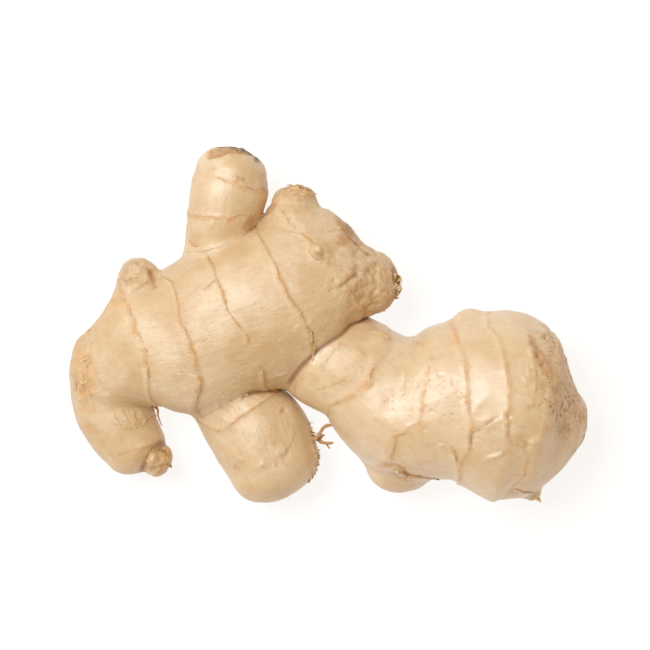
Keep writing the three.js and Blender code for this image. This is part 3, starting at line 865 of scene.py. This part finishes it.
def fine_relief(points, facts, patches):
    """Height of the wrinkles, knuckles and pits that no mark gives, at each point."""
    dry = 1 - 0.75 * facts["wax"]
    grain = facts["grain"]
    rugged = patches["rugged"]
    folds = 1 - np.abs(layered(grain, (7, 2.2, 2.2), 3, 31)) * 2.4
    lengthwise = layered(grain, (6, 1.0, 1.0), 2, 33)
    facets = 1 - np.abs(layered(points, 7.5, 2, 39)) * 2.2
    height = WRINKLE * dry * (lengthwise + 0.5 * folds)
    height += SWELL * layered(points, 10, 2, 35)
    height += FACET * facets
    height += PEBBLES * facts["wax"] * noise(points, 1.7, 37)
    height += RUGGED * rugged * (folds + 0.7 * layered(points, 2.6, 2, 47))
    height += (0.5 * rugged + 0.06) * warts(points, 2.6, 0.2, 51)
    height += patches["scar"] * (SCARRED * layered(points, 1.3, 3, 41) - 0.15)
    height += patches["pock"] * -PITTED * smoothstep(0.3, 0.7, noise(points, 1.2, 43))
    height += 0.25 * patches["pock"] * layered(points, 3.2, 2, 45)
    return height


def skin_mesh():
    """The finished skin, thinned to its limit, with the attributes that its material reads."""
    points, quads, lofts, fields = build_base()
    normals = vertex_normals(points, quads)
    coords = limb_coordinates(points, lofts, fields)
    shifts = ring_shifts(points, normals, coords)
    patches = draw_patches(points, normals)
    facts = describe(points, coords, shifts, patches["plain"])
    marks, _ = draw_marks(points, normals)
    height = facts["relief"] + marks + fine_relief(points, facts, patches)
    height *= smoothstep(0.0, 1.0, points[:, 2])

    skin = mesh_in_box("skin", points + normals * height[:, None], quads.tolist())
    thin = skin.modifiers.new("thin", "DECIMATE")
    thin.ratio = FACE_LIMIT / (2 * len(quads))
    bpy.context.view_layer.objects.active = skin
    bpy.ops.object.modifier_apply(modifier=thin.name)
    dress_points(skin, lofts, fields, shifts)
    return skin


def dress_points(skin, lofts, fields, shifts):
    """Writes what the material reads as attributes of the skin's points."""
    mesh = skin.data
    points, normals = mesh_arrays(mesh)
    coords = limb_coordinates(points, lofts, fields)
    patches = draw_patches(points, normals)
    facts = describe(points, coords, shifts, patches["plain"])
    _, stain = draw_marks(points, normals)
    # Painted shade: where two limbs meet in a crease, the skin's colour is darkened.
    hard = [field for name, field in fields.items() if np.min(LIMBS[name]["merge"]) <= SOFT_MERGE]
    gaps = np.sort([sample(field, points) for field in hard], axis=0)
    crease_shade = np.exp(-(((gaps[1] - gaps[0]) / CREASE_WIDTH) ** 2)) * smoothstep(0.7, 0.3, gaps[0])
    by_ring = smoothstep(*RING_LOOKS, np.abs(facts["past"])) * (1 - patches.pop("plain"))
    wax = facts["wax"] * (1 - patches.pop("matt"))
    values = dict(past=facts["past"], by_ring=by_ring, wax=wax, stain=stain, crease_shade=crease_shade)
    for name, value in (values | patches).items():
        attribute = mesh.attributes.new(name, "FLOAT", "POINT")
        attribute.data.foreach_set("value", value.astype(np.float32))
    grain = mesh.attributes.new("grain", "FLOAT_VECTOR", "POINT")
    grain.data.foreach_set("vector", facts["grain"].astype(np.float32).ravel())
    mesh.polygons.foreach_set("use_smooth", [True] * len(mesh.polygons))


# ---- Papery scales, scraps, hairs and rootlets ------------------------------------------------
#
# All are thin closed shells. Age is how dark and dried each one is, from 0 to 1.

SUNK = 0.3  # how deep each one starts under the skin
FLAP_STEP = 0.25  # length between two sections of a flap
FLAP_ROWS = 4  # steps across it
FLAP_ENDS = 1.2  # length over which it narrows at its ends
FLAP_THICK = 0.18
BLADE_STEPS = 8  # steps along a scrap or a hair
TWIG_SIDES = 8
TWIG_STEPS = 7  # steps along a rootlet for each of its stations
HAIR_STEP = 0.1  # length between two places where a hair can stand
HAIR_SCATTER = (0.1, 0.2, 1.5)  # spread of the hairs' feet round their line, along each axis
HAIR_TURN = 25  # spread of their headings, in degrees
HAIR_RISE = 20  # spread of how far they point up or down, in degrees
HAIR_CURL = 60  # spread of how far they curl, in degrees
HAIR_TAPER = 0.7
HAIR_LENGTHS = (0.4, 1.3)  # shortest and longest, as shares of the length given
HAIR_AGES = (0.2, 0.8)
OVERHEAD = 80  # a height above all of the rhizome
ROOTLET_AGE = 0.55

# Torn edges of leaf scales: side (1 for the left of the line's direction, -1 for the right), how far
# the edge reaches out, how many degrees it lifts, raggedness, age and its line seen from above.
FLAPS = [
    (1, 0.45, 20, 0.3, 0.35, [(-4.6, -1), (-3.9, -1.9), (-3.7, -4.5), (-2.9, -5.6), (-3.4, -8),
     (-3.2, -10)]),
    (-1, 0.35, 8, 0.1, 0.3, [(30.6, -31.5), (33, -32.6), (34.3, -34.2), (35, -36.4)]),
    (1, 0.45, 15, 0.3, 0.35, [(18.4, -29.2), (18, -32), (17.4, -35.2)]),
    (-1, 0.9, 25, 0.5, 0.3, [(17.6, -4), (14.1, -2.6), (11.8, -1.7)]),
    (-1, 0.7, 30, 0.5, 0.4, [(-36.8, 22.8), (-35.4, 21.8), (-33.7, 21.3)]),
    (-1, 0.7, 35, 0.5, 0.2, [(-66.3, -9.9), (-64.3, -9), (-62.9, -8.3)]),
    (-1, 0.6, 25, 0.6, 0.3, [(-66.6, -15.4), (-64.8, -15.2), (-63.4, -14.2)]),
    (1, 1.2, 60, 1.0, 0.35, [(-10.8, 35.8), (-8.6, 36.4), (-6, 35.2), (-3.2, 34.4)]),
    (1, 0.9, 80, 1.0, 0.3, [(-9.6, 35.2), (-7.4, 35.4), (-5, 34.4)]),
    (1, 0.5, 5, 0.15, 0.2, [(-28.6, -18.4), (-26, -17.4), (-22, -17), (-17.5, -17), (-13, -17.8)]),
    (-1, 0.7, 0, 0.5, 0.15, [(-56.4, -26.6), (-54, -27.6), (-52.4, -27.6), (-49.8, -27.2),
     (-48.6, -25.8)]),
    (1, 0.9, 20, 0.4, 0.55, [(-42.4, -36), (-43.6, -34), (-45.6, -33.2), (-47.6, -34.2)]),
    (-1, 0.7, 20, 0.8, 0.4, [(31, -41.8), (25.4, -41), (22.5, -40.1), (19.6, -38), (15.8, -37.6)]),
    (1, 0.5, 30, 0.8, 0.5, [(18.4, -38.6), (20.6, -39.8), (23, -40.4)]),
    (1, 0.5, 20, 0.6, 0.3, [(50.2, -43.6), (53, -45), (56.6, -45.2)]),
    (1, 0.6, 35, 0.8, 0.4, [(12.6, 18.6), (9.6, 20.4), (7.2, 22.8), (5, 26), (2.4, 29)]),
    (-1, 0.5, 25, 0.7, 0.5, [(-20.8, 45.7), (-25.6, 46), (-29, 44.6), (-31.4, 44.4)]),
    (1, 0.6, 20, 0.5, 0.3, [(3.4, -21.3), (3.3, -19.3)]),
    (-1, 0.5, 20, 0.5, 0.3, [(-53.8, 12), (-51.6, 13.4), (-49, 13.2)]),
    (1, 0.6, 15, 0.5, 0.3, [(6, -13.6), (1.4, -15.6), (-2.8, -17.2)]),
]

# Loose scraps and spurs: place, heading seen from above and upwards in degrees, length, width, how
# much it tapers, how many degrees it curls and age. A place with a height is on the nearest skin.
SCRAPS = [
    ((15.4, 5.2, 16), -70, 0, 2.2, 1.6, 1, 30, 0.15),
    ((16.4, 5.8, 18), -40, 10, 1.4, 0.8, 1, 60, 0.3),
    ((11.4, 3.2, 17), -80, 0, 1.8, 1.3, 1, 20, 0.25),
    ((13.2, 4, 16), -75, -10, 1.3, 0.7, 1, 40, 0.3),
    ((46.8, -46.6, 16), -95, 0, 1.2, 1, 1, 20, 0.3),
    ((57.4, -46.6, 17), -50, 0, 1.4, 1.2, 0.8, 20, 0.2),
    ((18.4, 13, 23), 50, 20, 1.8, 1.6, 0.4, 120, 0.5),
    ((18.8, 12, 24), 80, 40, 2.6, 1.8, 0.3, 220, 0.15),
    ((19, 11, 23), 30, 10, 2.6, 2, 0.3, 170, 0.05),
    ((19, 10, 24), -60, 40, 2.8, 1.8, 0.3, -190, 0.2),
    ((18.8, 9, 22), -50, 0, 2.2, 1.8, 0.4, 150, 0.6),
    ((18.2, 8, 23), -60, 10, 1.6, 1.6, 0.5, 110, 0.5),
    ((18.2, 12.6, 26), 110, 50, 1.8, 1.4, 0.4, 180, 0.4),
    ((18.9, 10, 26), 60, 50, 2.2, 1.6, 0.4, -180, 0.1),
    ((18.6, 9.2, 20), -35, -10, 2, 1.8, 0.5, 120, 0.7),
    ((18.9, 11.2, 21), 15, -10, 1.8, 1.8, 0.5, 120, 0.4),
    ((19, 10.4, 22), 0, 10, 2.4, 1.8, 0.3, 200, 0.15),
    ((18.9, 9.4, 23), -20, 20, 2.4, 1.6, 0.3, -180, 0.3),
    ((18.7, 12.2, 23), 30, 20, 2.2, 1.6, 0.3, 190, 0.25),
    ((18.5, 8.6, 24), -40, 30, 2, 1.4, 0.4, -170, 0.35),
    ((18.7, 9.6, 25), 100, 30, 2.6, 1.4, 0.3, 200, 0.3),
    ((18.8, 11.6, 22), -30, 20, 2, 1.6, 0.4, -160, 0.35),
    ((-9, 36.8, 22), 100, 20, 1.4, 1, 0.6, 160, 0.3),
    ((-10, 36.6, 23), 130, 30, 1.4, 1, 0.5, 180, 0.45),
    ((-8, 36.9, 24), 60, 40, 1.6, 1, 0.5, -180, 0.5),
    ((-7.2, 37, 22), 70, 30, 1.3, 0.7, 0.8, -100, 0.2),
    ((-5, 35.6, 23), 60, 20, 1, 0.7, 0.8, 100, 0.6),
    ((-3.4, 35.2, 22), 40, 20, 0.9, 0.6, 0.8, 90, 0.5),
    ((-3.6, -28.4, 17), -76, 0, 7.5, 1.2, 0.5, 8, 0.1),
    ((-4, -26.6, 14), 20, 10, 1.3, 1.2, 0.7, 30, 0.9),
    ((-2.2, -21.6), -60, 25, 1.3, 0.8, 0.8, 60, 0.2),
    ((22, -40.8), 200, 40, 1.6, 0.9, 0.6, 100, 0.5),
    ((19.8, -39), 120, 40, 1.4, 0.8, 0.6, 120, 0.2),
    ((-47.8, -34.4, 14), 100, 20, 1.2, 1, 0.7, 60, 0.3),
    ((-42.2, -38.4, 12), -40, 10, 1, 0.9, 0.7, 60, 0.5),
    ((-44, -33.8, 14), 60, 20, 1.1, 0.9, 0.7, 60, 0.2),
    ((-47.6, -40, 10), -110, 0, 1, 0.9, 0.7, 60, 0.5),
]

# Rows of hairs: their line as places with heights, how many, heading, length and thickness.
HAIRS = [
    ([(-2.4, -33.8, 15), (-2.2, -36.4, 14), (-3, -39.6, 13),
     (-4.6, -43.6, 13)], 90, -20, 0.55, 0.2),
    ([(-47.6, -20.8, 13), (-46.2, -22.2, 13)], 9, -70, 1.8, 0.2),
    ([(-4.6, -28, 15), (-2.8, -33, 15)], 14, 0, 1.6, 0.24),
]

# Rootlets: stations of x, y, z and radius.
ROOTLETS = [
    [(-8, -29, 13, 0.8), (-4, -30, 14, 0.7), (-1.5, -31.5, 14.5, 0.55), (0.5, -32.2, 15, 0.5),
     (2.2, -32, 15.3, 0.35)],
    [(-7, -31.5, 15, 0.7), (-3, -31, 16, 0.6), (-1.5, -29.5, 16.3, 0.5), (-0.5, -28, 16.3, 0.45),
     (1, -27.2, 16, 0.4), (1.8, -27.4, 16, 0.3)],
    [(-1.6, -31.4, 14.6, 0.4), (-0.8, -30.2, 15.4, 0.32), (-0.2, -29.9, 15.8, 0.25)],
    [(0.3, -32.2, 15, 0.35), (0.9, -33.2, 14.6, 0.25), (1.3, -33.6, 14.4, 0.2)],
    [(-47.5, -20.5, 12, 0.4), (-45.8, -22.8, 12.5, 0.28), (-45.5, -25, 12.5, 0.24),
     (-44.6, -27.6, 12, 0.14)],
]


def skin_tree(skin):
    """The finished skin, ready for finding the places on it."""
    points, _ = mesh_arrays(skin.data)
    return BVHTree.FromPolygons(points.tolist(), [tuple(p.vertices) for p in skin.data.polygons])


def ground(tree, x, y, z=None):
    """The skin and its normal under a point seen from above, or nearest to a point in space."""
    found = tree.ray_cast(Vector((x, y, OVERHEAD)), Vector((0, 0, -1))) if z is None else (None,)
    if found[0] is None:
        found = tree.find_nearest(Vector((x, y, z or 20)))
    return np.array(found[0]), np.array(found[1])


def unit(vectors):
    """The vectors, each of length 1."""
    return vectors / np.linalg.norm(vectors, axis=-1, keepdims=True)


def spread(course, step):
    """Points along a line, about one step apart, and the distance along it to each."""
    course = np.array(course, float)
    reach = distances(course)
    stops = np.linspace(0, reach[-1], max(int(reach[-1] / step), 3) + 1)
    return np.stack([np.interp(stops, reach, column) for column in course.T], 1), stops


def flap(tree, draw, side, width, lift, ragged, course):
    """Sections of a torn papery edge that stands out from the skin along a line."""
    line, stops = spread(course, FLAP_STEP)
    base, up = (np.array(v) for v in zip(*(ground(tree, x, y) for x, y in line)))
    up = unit(up + (0, 0, 0.01))
    ahead = unit(np.gradient(base, axis=0))
    out = unit(side * np.cross(up, ahead))
    ends = fade(stops, stops[-1], FLAP_ENDS)
    torn = 1 + ragged * (0.8 * noise(base, 0.9, 61) + 0.5 * draw.uniform(-1, 1, len(stops)))
    reach = (width * ends * np.clip(torn, 0.1, 2))[:, None]
    turned = np.radians(lift) * (1 + 0.4 * noise(base, 1.7, 62))[:, None]
    place = base - SUNK * (up + out)
    upper, lower = [], []
    for k in range(FLAP_ROWS + 1):
        angle = turned * k / FLAP_ROWS
        sheet = np.cos(angle) * up - np.sin(angle) * out
        if k == 1:
            place = base + 0.03 * up
        elif k > 1:
            place = place + reach / (FLAP_ROWS - 1) * (np.cos(angle) * out + np.sin(angle) * up)
        half = FLAP_THICK / 2 * (1 - 0.5 * k / FLAP_ROWS)
        upper.append(place + half * sheet)
        lower.append(place - half * sheet)
    return np.stack(upper + lower[::-1], 1)


def blade(start, heading, facing, length, width, thick, taper, curl):
    """Sections of a thin strip that bends towards its facing side on its way."""
    steps = BLADE_STEPS
    across = unit(np.cross(heading, facing))
    bend = unit(np.cross(across, heading))
    place = start - SUNK * heading
    sections = []
    for k in range(steps + 1):
        angle = math.radians(curl) * k / steps
        ahead = math.cos(angle) * heading + math.sin(angle) * bend
        sheet = np.cross(across, ahead)
        half = width / 2 * (1 - taper * (k / steps) ** 1.5) + 0.02
        deep = thick / 2 * (1 - 0.5 * k / steps)
        corners = ((1, 1), (-1, 1), (-1, -1), (1, -1))
        sections.append([place + a * half * across + b * deep * sheet for a, b in corners])
        place = place + ahead * (length + SUNK) / steps
    return np.array(sections)


def twig(stations):
    """Sections of a knobbly rootlet through its stations."""
    nodes = np.array(stations, float)
    path = along(nodes, np.linspace(0, len(nodes) - 1, TWIG_STEPS * len(nodes)))
    ahead = unit(np.gradient(path[:, :3], axis=0))
    side = unit(np.cross(ahead, (0, 0.2, 1)))
    up = np.cross(side, ahead)
    turns = np.linspace(0, 2 * math.pi, TWIG_SIDES, endpoint=False)[None, :, None]
    around = np.cos(turns) * side[:, None] + np.sin(turns) * up[:, None]
    middle, radius = path[:, None, :3], path[:, None, 3:]
    round_points = (middle + around * radius).reshape(-1, 3)
    lumps = 1 + 0.35 * noise(round_points, 0.7, 63).reshape(around.shape[:2])
    return middle + around * radius * lumps[..., None]


def direction(turn, rise):
    """The direction that heads that many degrees round from X and up from level."""
    turn, rise = math.radians(turn), math.radians(rise)
    flat = math.cos(rise)
    return np.array([math.cos(turn) * flat, math.sin(turn) * flat, math.sin(rise)])


def shells_piece(name, shells):
    """One mesh of closed shells, each given as its sections and its age."""
    points, faces, ages = [], [], []
    for sections, age in shells:
        count, size = sections.shape[:2]
        start = len(points)
        index = start + np.arange(count * size).reshape(count, size)
        a, b = index[:-1], index[1:]
        new = np.stack([a, b, np.roll(b, -1, 1), np.roll(a, -1, 1)], -1).reshape(-1, 4).tolist()
        new += [index[0].tolist(), index[-1][::-1].tolist()]
        middle = sections.mean(axis=(0, 1))
        flat = sections.reshape(-1, 3)
        volume = 0
        for face in new:
            a, *rest = flat[np.array(face) - start]
            volume += sum(np.dot(a - middle, np.cross(b, c)) for b, c in zip(rest, rest[1:]))
        faces += new if volume > 0 else [f[::-1] for f in new]
        points += flat.tolist()
        ages += [age] * len(flat)
    piece = mesh_in_box(name, np.array(points), faces)
    piece.data.attributes.new("age", "FLOAT", "POINT").data.foreach_set("value", ages)
    return piece


def scale_piece(tree):
    """The torn scales and the loose scraps."""
    draw = np.random.default_rng(SEED)
    shells = [(flap(tree, draw, *row[:4], row[5]), row[4]) for row in FLAPS]
    for place, turn, rise, length, width, taper, curl, age in SCRAPS:
        start, up = ground(tree, *place)
        heading = direction(turn, rise)
        facing = up + 0.4 * draw.normal(size=3)
        shells.append((blade(start, heading, facing, length, width, FLAP_THICK, taper, curl), age))
    return shells_piece("papery_scales", shells)


def rootlet_piece(tree):
    """The rootlets and the hairs."""
    draw = np.random.default_rng(SEED + 1)
    shells = [(twig(stations), ROOTLET_AGE) for stations in ROOTLETS]
    for course, count, turn, length, thick in HAIRS:
        line, _ = spread(course, HAIR_STEP)
        for t in draw.uniform(0, len(line) - 1, count):
            start, up = ground(tree, *(line[int(t)] + draw.normal(size=3) * HAIR_SCATTER))
            heading = direction(turn + HAIR_TURN * draw.normal(), HAIR_RISE * draw.normal())
            heading = unit(heading + 0.4 * up)
            long = length * draw.uniform(*HAIR_LENGTHS)
            facing, curl = draw.normal(size=3), HAIR_CURL * draw.normal()
            shell = blade(start, heading, facing, long, thick, thick, HAIR_TAPER, curl)
            shells.append((shell, draw.uniform(*HAIR_AGES)))
    return shells_piece("rootlets", shells)


# ---- Materials --------------------------------------------------------------------------------


class Nodes:
    """A short way to write a node tree."""

    def __init__(self, name):
        self.material = bpy.data.materials.new(name)
        self.material.use_nodes = True
        self.tree = self.material.node_tree
        self.tree.nodes.clear()

    def add(self, kind, inputs=(), **settings):
        """A new node of that kind, with its inputs and settings."""
        node = self.tree.nodes.new("ShaderNode" + kind)
        for key, value in settings.items():
            setattr(node, key, value)
        for key, value in dict(inputs).items():
            self.put(value, node.inputs[key])
        return node

    def put(self, value, socket):
        """Links a socket to another, or sets its value."""
        if isinstance(value, bpy.types.NodeSocket):
            self.tree.links.new(value, socket)
        else:
            socket.default_value = value

    def attribute(self, name, output="Fac"):
        return self.add("Attribute", attribute_name=name).outputs[output]

    def position(self):
        """The place on the object, in millimetres."""
        return self.scaled(self.add("TexCoord").outputs["Object"], (1 / MM, 1 / MM, 1 / MM))

    def maths(self, operation, a, b=0.0, c=0.0, clamp=False):
        node = self.add("Math", {0: a, 1: b, 2: c}, operation=operation, use_clamp=clamp)
        return node.outputs[0]

    def times(self, a, b):
        return self.maths("MULTIPLY", a, b)

    def fit(self, value, slope, base):
        """The value times the slope, plus the base."""
        return self.maths("MULTIPLY_ADD", value, slope, base)

    def scaled(self, vector, scale):
        return self.add("VectorMath", {0: vector, 1: scale}, operation="MULTIPLY").outputs[0]

    def noise(self, vector, scale=1.0, detail=2.0, rough=0.5):
        inputs = {"Vector": vector, "Scale": scale, "Detail": detail, "Roughness": rough}
        return self.add("TexNoise", inputs).outputs["Fac"]

    def ramp(self, value, low, high, to_low=0.0, to_high=1.0):
        inputs = (("Value", value), ("From Min", low), ("From Max", high))
        inputs += (("To Min", to_low), ("To Max", to_high))
        return self.add("MapRange", inputs, interpolation_type="SMOOTHSTEP").outputs["Result"]

    def bell(self, value, middle, width):
        """1 where the value is at the middle, falling to 0 a width or so away."""
        off = self.maths("DIVIDE", self.maths("SUBTRACT", value, middle), width)
        return self.maths("POWER", math.e, self.times(self.times(off, off), -1.0))

    def tinted(self, under, tint, amount):
        node = self.add("Mix", data_type="RGBA", blend_type="MIX", clamp_factor=True)
        self.put(amount, node.inputs[0])
        self.put(under, node.inputs[6])
        self.put(tint, node.inputs[7])
        return node.outputs[2]

    def finished(self, inputs):
        """The material, once its surface has these inputs."""
        surface = self.add("BsdfPrincipled", inputs)
        self.add("OutputMaterial", {"Surface": surface.outputs[0]})
        return self.material


def colour(red, green, blue):
    """An sRGB colour, 0 to 255 and none of it near 0, as the linear colour that a socket takes."""
    return (*(((v / 255 + 0.055) / 1.055) ** 2.4 for v in (red, green, blue)), 1.0)


PALE = colour(227, 203, 168)
TAN = colour(212, 178, 133)
WAXY = colour(232, 207, 171)
# Painted highlight colour for the lips of the rings.
LIP_HIGHLIGHT = colour(242, 217, 178)
LINE = colour(166, 112, 60)
ORANGE = colour(216, 164, 98)
SCAR = colour(124, 98, 72)
BROWN = colour(190, 143, 92)
SPECK = colour(112, 76, 46)
# Painted shade colour for the creases where limbs meet.
CREASE_SHADE = colour(130, 74, 36)
PAPER = colour(229, 197, 153)
ROOT = colour(186, 142, 94)
DRIED = colour(84, 58, 40)
REDDENING = (1.0, 0.5, 0.2)  # how far each colour of light spreads in the skin, next to red


def skin_material():
    """The rhizome's skin: buff where it is dry, warm and glossy where it is waxy, with painted
    highlights on ring lips and painted shade in creases.
    """
    n = Nodes("ginger_skin")
    position = n.position()
    grain = n.attribute("grain", "Vector")
    names = ("wax", "rugged", "by_ring", "stain", "crease_shade", "scar", "orange", "pock", "brown")
    wax, rugged, by_ring, stain, crease_shade, scar, orange, pock, brown = map(n.attribute, names)
    dry = n.maths("SUBTRACT", 1.0, wax, clamp=True)
    soft = n.ramp(wax, 0.4, 0.85)
    crumbs = n.noise(position, 1.3, 4.0, 0.65)
    past = n.fit(n.maths("SUBTRACT", crumbs, 0.5), 1.1, n.attribute("past"))

    # Lengthwise grain, fine and coarse, and clouds of paler and darker skin.
    fine_grain = n.noise(n.scaled(grain, (0.35, 2.6, 2.6)), detail=4.0, rough=0.6)
    coarse_grain = n.noise(n.scaled(grain, (0.12, 0.6, 0.6)), detail=3.0)
    fibres = n.noise(n.scaled(grain, (0.5, 3.4, 3.4)), detail=3.0)
    clouds = n.noise(position, 0.09, 3.0, 0.55)
    blotches = n.noise(position, 0.45, 4.0, 0.6)
    parched = n.ramp(n.noise(position, 0.14, 2.0), 0.4, 0.65)

    # Rings: a painted highlight on the lip, a warm band and, on dry skin, a thin broken line at the
    # foot of the edge.
    patchy = n.ramp(n.noise(position, 0.22, 3.0), 0.47, 0.64)
    ochre = n.ramp(n.noise(position, 0.33, 3.0, 0.6), 0.44, 0.62)
    # Painted highlight: the raised lip before each ring's edge is paler, as where it catches the
    # light.
    lip_highlight = n.times(n.bell(past, -1.0, 0.6), n.fit(patchy, 0.3, 0.1))
    band = n.times(n.bell(past, -0.1, n.fit(soft, 0.15, 0.55)), n.fit(ochre, 0.62, 0.18))
    band = n.times(band, n.fit(soft, -0.2, 1.0))
    fringe = n.times(n.bell(past, 0.0, 0.9), n.fit(soft, -0.22, 0.3))
    fringe = n.times(fringe, n.ramp(fibres, 0.5, 0.68))
    line = n.times(n.bell(past, 0.22, 0.12), n.fit(patchy, 0.8, 0.02))
    line = n.times(line, n.fit(soft, -0.45, 1.0))

    # Specks: small dark dots, thick where the pock patches are and sparse elsewhere.
    dots = n.add("TexVoronoi", {"Vector": position, "Scale": 0.9}, feature="F1")
    chance = n.add("SeparateColor", {"Color": dots.outputs["Color"]})
    size = n.fit(chance.outputs[1], 0.14, 0.04)
    spot = n.ramp(n.maths("SUBTRACT", dots.outputs["Distance"], size), 0.0, 0.12, 1.0, 0.0)
    rare = n.maths("LESS_THAN", chance.outputs[0], n.fit(pock, 0.6, 0.07))
    specks = n.times(n.times(spot, rare), n.fit(pock, 0.45, 0.25))

    # The layers of colour, from the lowest up: each is laid on by the product of its two numbers.
    skin = PALE
    for tint, amount, where in (
        (TAN, n.ramp(clouds, 0.35, 0.68), 1.0),
        (WAXY, wax, 0.5),
        (TAN, n.ramp(blotches, 0.48, 0.7), 0.4),
        (BROWN, n.ramp(fine_grain, 0.5, 0.72), n.fit(dry, 0.26, 0.06)),
        (BROWN, n.ramp(coarse_grain, 0.52, 0.78), 0.2),
        (BROWN, rugged, n.ramp(blotches, 0.4, 0.65, 0.1, 0.5)),
        (LIP_HIGHLIGHT, lip_highlight, by_ring),
        (ORANGE, band, by_ring),
        (ORANGE, orange, n.fit(blotches, 0.8, 0.2)),
        (BROWN, brown, n.fit(blotches, 1.0, 0.25)),
        (BROWN, pock, n.ramp(crumbs, 0.48, 0.66, 0.04, 0.55)),
        (BROWN, fringe, by_ring),
        (LINE, line, by_ring),
        (LINE, stain, n.ramp(crumbs, 0.35, 0.6)),
        # Painted shade: warm and dark crease colours where two limbs meet.
        (ORANGE, n.ramp(crease_shade, 0.3, 0.8), 0.25),
        (CREASE_SHADE, n.ramp(crease_shade, 0.6, 1.0), 0.7),
        (SPECK, specks, 1.0),
        (SCAR, scar, n.ramp(crumbs, 0.3, 0.5)),
    ):
        skin = n.tinted(skin, tint, n.times(amount, where))

    # Gloss and the finest relief: fibres where the skin is parched, pebbles where it is waxy.
    rough = n.fit(wax, -0.16, 0.53)
    ledge = n.times(n.ramp(past, -0.15, 0.15, 1.0, 0.0), n.bell(past, 0.0, 1.2))
    fibre_height = n.times(dry, n.fit(parched, 0.14, 0.07))
    height = n.times(fine_grain, n.maths("ADD", fibre_height, 0.03))
    for value, share in (
        (blotches, 0.1), (n.times(by_ring, band), 0.25), (n.maths("MAXIMUM", scar, pock), 0.3),
    ):
        rough = n.fit(value, share, rough)
    for value, share in (
        (crumbs, n.fit(dry, 0.08, 0.05)), (n.times(ledge, by_ring), n.fit(dry, 0.08, 0.04)),
        (fringe, 0.2), (specks, -0.12), (n.times(scar, crumbs), 0.4),
    ):
        height = n.fit(value, share, height)
    bump = n.add("Bump", {"Height": height, "Strength": 1.0, "Distance": MM})
    return n.finished({
        "Base Color": skin, "Roughness": rough, "Normal": bump.outputs[0], "IOR": 1.6,
        "Specular IOR Level": 1.0, "Subsurface Weight": 0.25, "Subsurface Scale": 2 * MM,
        "Subsurface Radius": REDDENING, "Coat Roughness": 0.36, "Coat Weight": n.times(wax, 0.4),
    })


def scrap_material():
    """Dry papery scale and root, from straw to dark brown by the age of each scrap."""
    n = Nodes("dry_scraps")
    mottle = n.noise(n.position(), 1.6, 3.0, 0.6)
    age = n.fit(n.maths("SUBTRACT", mottle, 0.5), 0.5, n.attribute("age"))
    skin = n.tinted(PAPER, ROOT, n.ramp(age, 0.15, 0.6))
    skin = n.tinted(skin, DRIED, n.ramp(age, 0.55, 1.0))
    bump = n.add("Bump", {"Height": mottle, "Strength": 0.6, "Distance": 0.2 * MM})
    return n.finished({
        "Base Color": skin, "Roughness": 0.7, "Normal": bump.outputs[0],
        "Subsurface Weight": 0.15, "Subsurface Scale": MM, "Subsurface Radius": REDDENING,
    })


# ---- The stage --------------------------------------------------------------------------------

FRAME_WIDTH = 176.15  # width of the view at the height of the rhizome's outline
OUTLINE_HEIGHT = 18.0
CAMERA_DISTANCE = 750.0  # from the outline's height
SENSOR = 36.0
FLOOR_HALF = 2.0  # metres from the middle of the floor to its sides
FLOOR_GREY = (0.2, 0.2, 0.2, 1.0)
FLOOR_GLOW = 0.84  # makes the floor as pale as the photograph's
SKY_COLOUR = (1, 0.71, 0.38, 1)
SKY_STRENGTH = 0.46
KEY_PLACE = (-0.35, 0.23, 0.87)  # metres: upper left
KEY_AIM = (0, 0, 0.02)
KEY_SIZE = 0.55  # metres across
KEY_POWER = 7.6  # watts
KEY_TINT = (0.93, 1.03, 1.12)


def add_camera():
    """The camera, straight above the middle of the frame."""
    data = bpy.data.cameras.new("camera")
    data.sensor_width = SENSOR
    data.lens = SENSOR * CAMERA_DISTANCE / FRAME_WIDTH
    camera = added("camera", data)
    camera.location = (0, 0, (CAMERA_DISTANCE + OUTLINE_HEIGHT) * MM)
    bpy.context.scene.camera = camera


def add_light():
    """The round key light."""
    data = bpy.data.lights.new("key", "AREA")
    data.shape = "DISK"
    data.size, data.energy, data.color = KEY_SIZE, KEY_POWER, KEY_TINT
    light = added("key", data)
    light.location = KEY_PLACE
    light.rotation_euler = (Vector(KEY_AIM) - light.location).to_track_quat("-Z", "Y").to_euler()


def add_stage():
    """The glowing floor, the warm sky and the key light."""
    n = Nodes("floor")
    glow = {"Emission Color": (1, 1, 1, 1), "Emission Strength": FLOOR_GLOW}
    mesh = bpy.data.meshes.new("floor")
    corners = [(x * FLOOR_HALF, y * FLOOR_HALF, 0) for x, y in ((-1, -1), (1, -1), (1, 1), (-1, 1))]
    mesh.from_pydata(corners, [], [(0, 1, 2, 3)])
    mesh.materials.append(n.finished({"Base Color": FLOOR_GREY, "Roughness": 0.9, **glow}))
    added("floor", mesh)

    world = bpy.data.worlds.new("studio")
    world.use_nodes = True
    sky = world.node_tree.nodes["Background"].inputs
    sky["Color"].default_value, sky["Strength"].default_value = SKY_COLOUR, SKY_STRENGTH
    bpy.context.scene.world = world
    add_light()
    bpy.context.scene.view_settings.view_transform = "Standard"


# ---- Making the scene -------------------------------------------------------------------------

add_camera()
add_stage()
skin = skin_mesh()
tree = skin_tree(skin)
looks = {skin: skin_material()}
for piece in (scale_piece(tree), rootlet_piece(tree)):
    looks[piece] = scrap_material()
for piece, material in looks.items():
    piece.data.materials.append(material)
    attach(piece, "root")
    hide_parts("rhizome")
